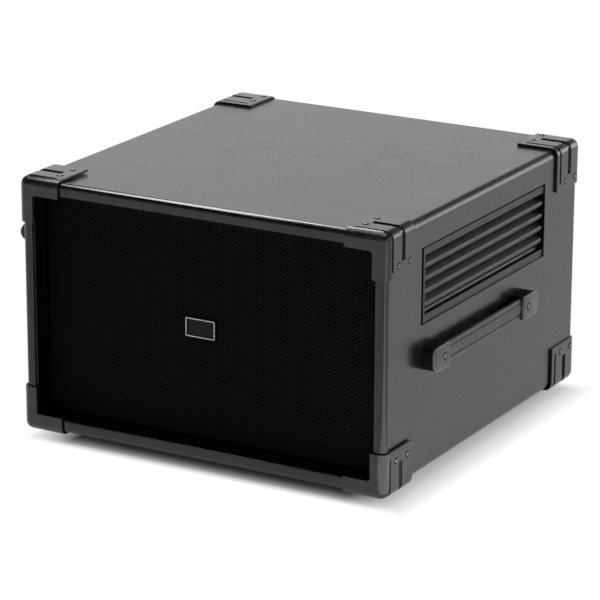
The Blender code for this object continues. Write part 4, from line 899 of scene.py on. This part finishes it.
def grille_scrim():
    """A stretched black cloth just behind the pan's face, drawn as a fine grid of soft waves."""
    low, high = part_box("front_grille")
    left, right = low.x + SCRIM_INSET, high.x - SCRIM_INSET
    bottom, top = low.z + SCRIM_INSET, high.z - SCRIM_INSET
    columns, rows = SCRIM_GRID
    points, faces = [], []
    for row in range(rows + 1):
        for column in range(columns + 1):
            x = left + (right - left) * column / columns
            z = bottom + (top - bottom) * row / rows
            slack = SCRIM_SLACK * math.sin(2.1 * column) * math.sin(1.7 * row)
            points.append((x, low.y + SCRIM_BEHIND + slack, z))
    for row in range(rows):
        for column in range(columns):
            start = row * (columns + 1) + column
            faces.append((start, start + 1, start + columns + 2, start + columns + 1))
    made = mesh_piece("grille_scrim", points, faces, slot="painted_board",
                      material=SCRIM_CLOTH, smooth_angle=60)


grille_scrim()


def badge_border():
    """A thin pale frame along the bare plate's rim."""
    low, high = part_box("badge_plate")
    half_w, half_h = (high.x - low.x) / 2, (high.z - low.z) / 2
    outer, inner = (rounded_outline(half_w - inset, half_h - inset, radius)
                    for inset, radius in (BORDER_OUTER, BORDER_INNER))
    strip = ring_strip(outer, inner, -BORDER_HEIGHT, BORDER_HEIGHT)
    x, z = middle_xz(low, high)
    place = facing((0, -1, 0), (x, low.y, z))
    mesh_piece("badge_border", *stamp(strip, [place]), slot="badge_plate", material=PALE_RIM)


badge_border()


def painted_shade_lining():
    """Painted shade: a thin matt black frame on the four walls round the grille, as dark as the shade in the
    recess.
    """
    top_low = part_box("top_panel")[0]
    bottom_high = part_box("bottom_panel")[1]
    left_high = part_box("left_side_panel")[1]
    baffle_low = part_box("front_baffle")[0]
    half_w = -left_high.x - SHADE_LINING_CLEARANCE
    half_h = (top_low.z - bottom_high.z) / 2 - SHADE_LINING_CLEARANCE
    outer = rounded_outline(half_w, half_h, SHADE_LINING_RADIUS)
    inner = rounded_outline(half_w - SHADE_LINING_THICKNESS, half_h - SHADE_LINING_THICKNESS, SHADE_LINING_INNER_RADIUS)
    depth = baffle_low.y - top_low.y - 2 * SHADE_LINING_CLEARANCE
    frame_ring = ring_strip(outer, inner, 0.0, depth)
    middle_z = (top_low.z + bottom_high.z) / 2
    place = facing((0, -1, 0), (0, baffle_low.y - SHADE_LINING_CLEARANCE, middle_z))
    mesh_piece("painted_shade_lining", *stamp(frame_ring, [place]), slot="painted_board",
               material=PAINTED_SHADE_BLACK)


painted_shade_lining()


def seam_covers():
    """Thin strips of vinyl over the side panels' joints, since one cloth covers all the boards."""
    for side, sx in SIDES:
        low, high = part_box(f"{side}_side_panel")
        face = high.x if side == "right" else low.x
        shapes = []
        for level in (low.z, high.z):
            length = high.y - low.y
            strip = rounded_outline(length / 2 - SEAM_END_GAP, SEAM_HALF_HEIGHT, SEAM_RADIUS, steps=2)
            place = facing((sx, 0, 0), (face, (low.y + high.y) / 2, level))
            shapes.append(stamp(outline_prism(strip, -SEAM_SUNK, SEAM_PROUD), [place]))
        mesh_piece(f"{side}_vinyl_seams", *join(*shapes), slot="tolex", material=SEAM_TOLEX)


seam_covers()


# ---------------------------------------------------------------- screws

def put_metal(name, shape, places, material=BLACK_SCREW):
    """Copies of one small turned or pressed shape, as one piece."""
    mesh_piece(name, *stamp(shape, places), slot="zinc_steel", material=material, smooth_angle=30)


def screw_shade_rings(name, radius, places):
    """Painted shade: dark rings under the screw heads, standing for the shade in the pockets that the screws
    sit in.
    """
    wide = radius * SHADE_RING_SHARE
    profile = [(wide * r, SHADE_RING_HEIGHT * z) for r, z in ((0.0, 1.0), (0.92, 1.0), (1.0, 0.3), (1.0, -1.0))]
    put_metal(name, lathe(profile, SCREW_STEPS), places, PAINTED_SHADE_BLACK)


def corner_screws():
    """Two screws on the outer side and two above or below, for each corner protector."""
    head = screw_head(*CORNER_SCREW)
    for end, inset in CORNER_SCREW_INSET.items():
        for level, sz in (("top", 1), ("bottom", -1)):
            for side, sx in SIDES:
                low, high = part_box(f"{end}_{level}_{side}_corner")
                out_x, in_x = (high.x, low.x) if sx > 0 else (low.x, high.x)
                out_z, in_z = (high.z, low.z) if sz > 0 else (low.z, high.z)
                places = []
                for k, reach in enumerate(CORNER_SCREW_REACH[end]):
                    y = low.y + reach if end == "front" else high.y - reach
                    spin = 0.35 + 0.9 * k + (0.5 if sx < 0 else 0.0) + (0.4 if sz > 0 else 0.0)
                    places.append(facing((sx, 0, 0), (out_x, y, in_z + sz * inset), spin))
                    places.append(facing((0, 0, sz), (in_x + sx * inset, y, out_z), spin + 0.6))
                put_metal(f"{end}_{level}_{side}_corner_screws", head, places)
                screw_shade_rings(f"{end}_{level}_{side}_corner_seats", CORNER_SCREW[0], places)


corner_screws()


def handle_screws():
    """One screw in each handle cap."""
    head = screw_head(*HANDLE_SCREW, recess=HANDLE_SCREW_RECESS)
    for side, sx in SIDES:
        places = []
        for end, y in HANDLE_SCREW_Y.items():
            low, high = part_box(f"{side}_handle_{end}_cap")
            face = high.x if side == "right" else low.x
            places.append(facing((sx, 0, 0), (face, y, HANDLE_SCREW_Z), 0.5 if end == "front" else 1.1))
        put_metal(f"{side}_handle_screws", head, places)
        screw_shade_rings(f"{side}_handle_screw_shade", HANDLE_SCREW[0], places)


handle_screws()


def rear_screws():
    """Screws round the rear panel, and smaller ones round the control plate."""
    def place(x, face, z, spin):
        return facing((0, 1, 0), (x, face, z), spin)

    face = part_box("rear_panel")[1].y
    places = [place(x, face, z, 0.4 + 0.7 * i + 1.1 * j)
              for i, x in enumerate(REAR_SCREW_X) for j, z in enumerate(REAR_SCREW_Z)]
    places += [place(x, face, z, 0.9 + 0.8 * i + 0.5 * j)
               for i, z in enumerate(REAR_SIDE_Z) for j, x in enumerate(REAR_SIDE_X)]
    put_metal("rear_panel_screws", screw_head(*REAR_SCREW), places)

    low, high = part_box("control_plate")
    ends = (low.x + PLATE_SCREW_INSET, high.x - PLATE_SCREW_INSET)
    rows = (low.z + PLATE_SCREW_INSET, high.z - PLATE_SCREW_INSET)
    middle_z = (low.z + high.z) / 2
    places = [place(x, PLATE_FACE, z, 0.2 + 0.9 * i + 0.7 * j)
              for i, x in enumerate((ends[0], PLATE_SCREW_INNER_X, ends[1])) for j, z in enumerate(rows)]
    places += [place(x, PLATE_FACE, middle_z, 0.8 + i) for i, x in enumerate(ends)]
    put_metal("control_plate_screws", screw_head(*PLATE_SCREW), places)


rear_screws()


def foot_screws():
    """One screw inside each foot's recess."""
    places = []
    for k, (end, side) in enumerate((e, s) for e in ("front", "rear") for s in ("left", "right")):
        low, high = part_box(f"{end}_{side}_foot")
        middle = (low + high) / 2
        places.append(facing((0, 0, -1), (middle.x, middle.y, FOOT_RECESS_TOP), 0.4 + 0.8 * k))
    put_metal("foot_screws", screw_head(*FOOT_SCREW), places, FINISHES["zinc_steel"])


foot_screws()


# ---------------------------------------------------------------- rear fittings

def inlet_blades():
    """The three flat pins inside the mains inlet."""
    x, z = middle_xz(*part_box("mains_inlet"))
    blade = small_box(*BLADE_HALF, 0.0, BLADE_LENGTH, BLADE_EDGE)
    places = [facing((0, 1, 0), (x + dx, PLATE_FACE - INLET_DEPTH, z + dz)) for dx, dz in INLET_BLADES]
    put_metal("inlet_blades", blade, places, FINISHES["zinc_steel"])


def socket_contacts():
    """The round socket's insulator, and its ring of contacts round a middle one."""
    low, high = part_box("signal_socket")
    x, z = middle_xz(low, high)
    floor = high.y - SOCKET_DEPTH
    disc = lathe(INSULATOR_PROFILE, SCREW_STEPS)
    mesh_piece("socket_insulator", *stamp(disc, [facing((0, 1, 0), (x, floor, z))]), slot="knob_plastic",
               material=FINISHES["knob_plastic"], smooth_angle=30)
    pin = lathe(CONTACT_PROFILE, CONTACT_STEPS)
    turns = [math.tau * (i + 0.5) / PIN_COUNT for i in range(PIN_COUNT)]
    spots = [(PIN_RING_RADIUS * math.sin(turn), PIN_RING_RADIUS * math.cos(turn)) for turn in turns]
    places = [facing((0, 1, 0), (x + dx, floor + CONTACT_FOOT, z + dz)) for dx, dz in (*spots, (0.0, 0.0))]
    put_metal("socket_contacts", pin, places, BRASS)


def knob_marks():
    """The knob's pointer, and its scale of ticks on the plate: the knob rests at the low end."""
    low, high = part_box("level_knob")
    x, z = middle_xz(low, high)

    def around(turn, radius, y):
        centre = Matrix.Translation((x - radius * math.sin(turn), y, z + radius * math.cos(turn)))
        return centre @ Matrix.Rotation(-turn, 4, "Y") @ Matrix.Rotation(-QUARTER_TURN, 4, "X")

    pointer = small_box(*POINTER_HALF, *POINTER_HEIGHT)
    mesh_piece("knob_pointer", *stamp(pointer, [around(-POINTER_TURN, POINTER_RADIUS, high.y)]),
               slot="knob_plastic", material=MARKING, body="knob")
    marks = []
    for i in range(TICKS):
        turn = POINTER_TURN * (2 * i / (TICKS - 1) - 1)
        half = LONG_TICK_HALF if i in (0, TICKS // 2, TICKS - 1) else TICK_HALF
        tick = small_box(TICK_HALF_WIDTH, half, -PRINT_HEIGHT, PRINT_HEIGHT, PRINT_EDGE)
        marks.append(stamp(tick, [around(turn, SCALE_RADIUS + half, PLATE_FACE)]))
    mesh_piece("knob_scale", *join(*marks), slot="control_plate", material=MARKING)


def rocker_marks():
    """A bar and a ring beside the power rocker."""
    low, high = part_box("power_rocker")
    x = (low.x + high.x) / 2
    bar = small_box(*ROCKER_BAR_HALF, -PRINT_HEIGHT, PRINT_HEIGHT, PRINT_EDGE)
    outer, inner = (rounded_outline(half, half, radius, steps=6) for half, radius in ROCKER_RING)
    ring = ring_strip(outer, inner, -PRINT_HEIGHT, PRINT_HEIGHT)
    above = facing((0, 1, 0), (x, PLATE_FACE, high.z + ROCKER_MARK_GAP))
    below = facing((0, 1, 0), (x, PLATE_FACE, low.z - ROCKER_MARK_GAP))
    mesh_piece("rocker_marks", *join(stamp(bar, [above]), stamp(ring, [below])),
               slot="control_plate", material=MARKING)


inlet_blades()
socket_contacts()
knob_marks()
rocker_marks()


# ---------------------------------------------------------------- studio

def make_camera():
    """A camera at its place, turned by its yaw, pitch and roll."""
    yaw, pitch, roll = CAMERA_YAW, CAMERA_PITCH, CAMERA_ROLL
    ahead = Vector((math.sin(yaw) * math.cos(pitch), math.cos(yaw) * math.cos(pitch), -math.sin(pitch)))
    right = Vector((math.cos(yaw), -math.sin(yaw), 0.0))
    up = right.cross(ahead)
    across = right * math.cos(roll) + up * math.sin(roll)
    upward = up * math.cos(roll) - right * math.sin(roll)
    turn = Matrix((across, upward, -ahead)).transposed().to_4x4()
    data = bpy.data.cameras.new("camera")
    data.lens = CAMERA_LENS
    data.sensor_width = CAMERA_SENSOR
    data.clip_start, data.clip_end = CAMERA_CLIP
    camera = bpy.data.objects.new("camera", data)
    camera.matrix_world = Matrix.Translation(CAMERA_PLACE) @ turn
    bpy.context.scene.collection.objects.link(camera)
    bpy.context.scene.camera = camera


def make_world():
    """A bright ring round the horizon under a dim dome, dimmer in front; the camera itself sees white."""
    world = bpy.data.worlds.new("studio")
    bpy.context.scene.world = world
    world.use_nodes = True
    n = Nodes(world.node_tree)
    n.tree.nodes.clear()
    place = n.node("ShaderNodeTexCoord").outputs["Generated"]
    split = n.node("ShaderNodeSeparateXYZ", i0=place)
    height = n.spread(split.outputs["Z"], RING_LEVEL, DOME_LEVEL, RING_TOP, RING_END, "SMOOTHSTEP")
    front = n.spread(split.outputs["Y"], RING_FRONT_SHARE, 1.0, *RING_FRONT_TURN, "SMOOTHSTEP")
    camera_ray = n.node("ShaderNodeLightPath").outputs["Is Camera Ray"]
    seen = n.node("ShaderNodeMix", i0=camera_ray, i2=n.math("MULTIPLY", height, front), i3=1.0)
    back = n.node("ShaderNodeBackground", Strength=seen.outputs[0])
    n.node("ShaderNodeOutputWorld", i0=back.outputs[0])


def make_floor():
    """A pale floor that is white further out; near the cabinet its white glow is painted light that fades
    the object's shadow out close by, and thins it most at the sides.
    """
    corners = [(x * FLOOR_REACH, y * FLOOR_REACH, 0) for x, y in ((-1, -1), (1, -1), (1, 1), (-1, 1))]
    mesh = bpy.data.meshes.new("studio_floor")
    mesh.from_pydata(corners, [], [(0, 1, 2, 3)])
    floor = bpy.data.objects.new("studio_floor", mesh)
    bpy.context.scene.collection.objects.link(floor)
    s = Surface("floor_paper")
    s.shader.inputs["Roughness"].default_value = FLOOR_ROUGHNESS
    s.shader.inputs["Specular IOR Level"].default_value = FLOOR_SPECULAR
    s.shader.inputs["Base Color"].default_value = colour(FLOOR_COLOUR)
    split = s.node("ShaderNodeSeparateXYZ", i0=s.place)
    # Painted light: the white glow laid over the shadow right beside the cabinet, per side.
    right = s.spread(split.outputs["X"], 0.0, FLOOR_GLOW_OVER_SHADOW_RIGHT, *FLOOR_TURN)
    left = s.spread(split.outputs["X"], FLOOR_GLOW_OVER_SHADOW_LEFT, 0.0, *(-x for x in FLOOR_TURN[::-1]))
    least = s.math("MAXIMUM", right, left)
    share = least
    for axis, half_side, fade, power in zip("XY", FLOOR_HALF, FLOOR_FADE, FLOOR_FADE_POWER):
        away = s.spread(s.math("ABSOLUTE", split.outputs[axis], 0.0), 0.0, 1.0, half_side, half_side + fade)
        white = s.spread(s.math("POWER", away, power), least, 1.0, 0.0, 1.0)
        share = s.math("MAXIMUM", share, white)
    path = s.node("ShaderNodeLightPath")
    looks = s.math("MAXIMUM", path.outputs["Is Camera Ray"], path.outputs["Is Glossy Ray"])
    looks = s.math("MAXIMUM", looks, path.outputs["Is Transmission Ray"])
    glow = s.node("ShaderNodeEmission", Strength=1.0)
    mixed = s.node("ShaderNodeMixShader", i0=s.math("MULTIPLY", share, looks),
                   i1=s.shader.outputs[0], i2=glow.outputs[0])
    s.tree.links.new(mixed.outputs[0], s.tree.nodes["Material Output"].inputs["Surface"])
    mesh.materials.append(s.material)


def make_lamp(name, place, turn, size, radiance):
    """A soft rectangular lamp; its power is its radiance times its area times pi."""
    data = bpy.data.lights.new(f"softbox_{name}", "AREA")
    data.shape = "RECTANGLE"
    data.size, data.size_y = size
    data.energy = radiance * size[0] * size[1] * math.pi
    lamp = bpy.data.objects.new(f"softbox_{name}", data)
    lamp.location = place
    lamp.rotation_euler = turn
    bpy.context.scene.collection.objects.link(lamp)
    return lamp


def make_lamps():
    for name, (place, aim, size, radiance) in SOFTBOXES.items():
        turn = (Vector(aim) - Vector(place)).to_track_quat("-Z", "Y").to_euler()
        make_lamp(name, place, turn, size, radiance)
    place, turn, size, radiance = LOW_STRIP
    make_lamp("low_strip", place, (math.pi, 0.0, turn), size, radiance).visible_camera = False


make_camera()
make_world()
make_floor()
make_lamps()
bpy.context.scene.view_settings.view_transform = "Standard"
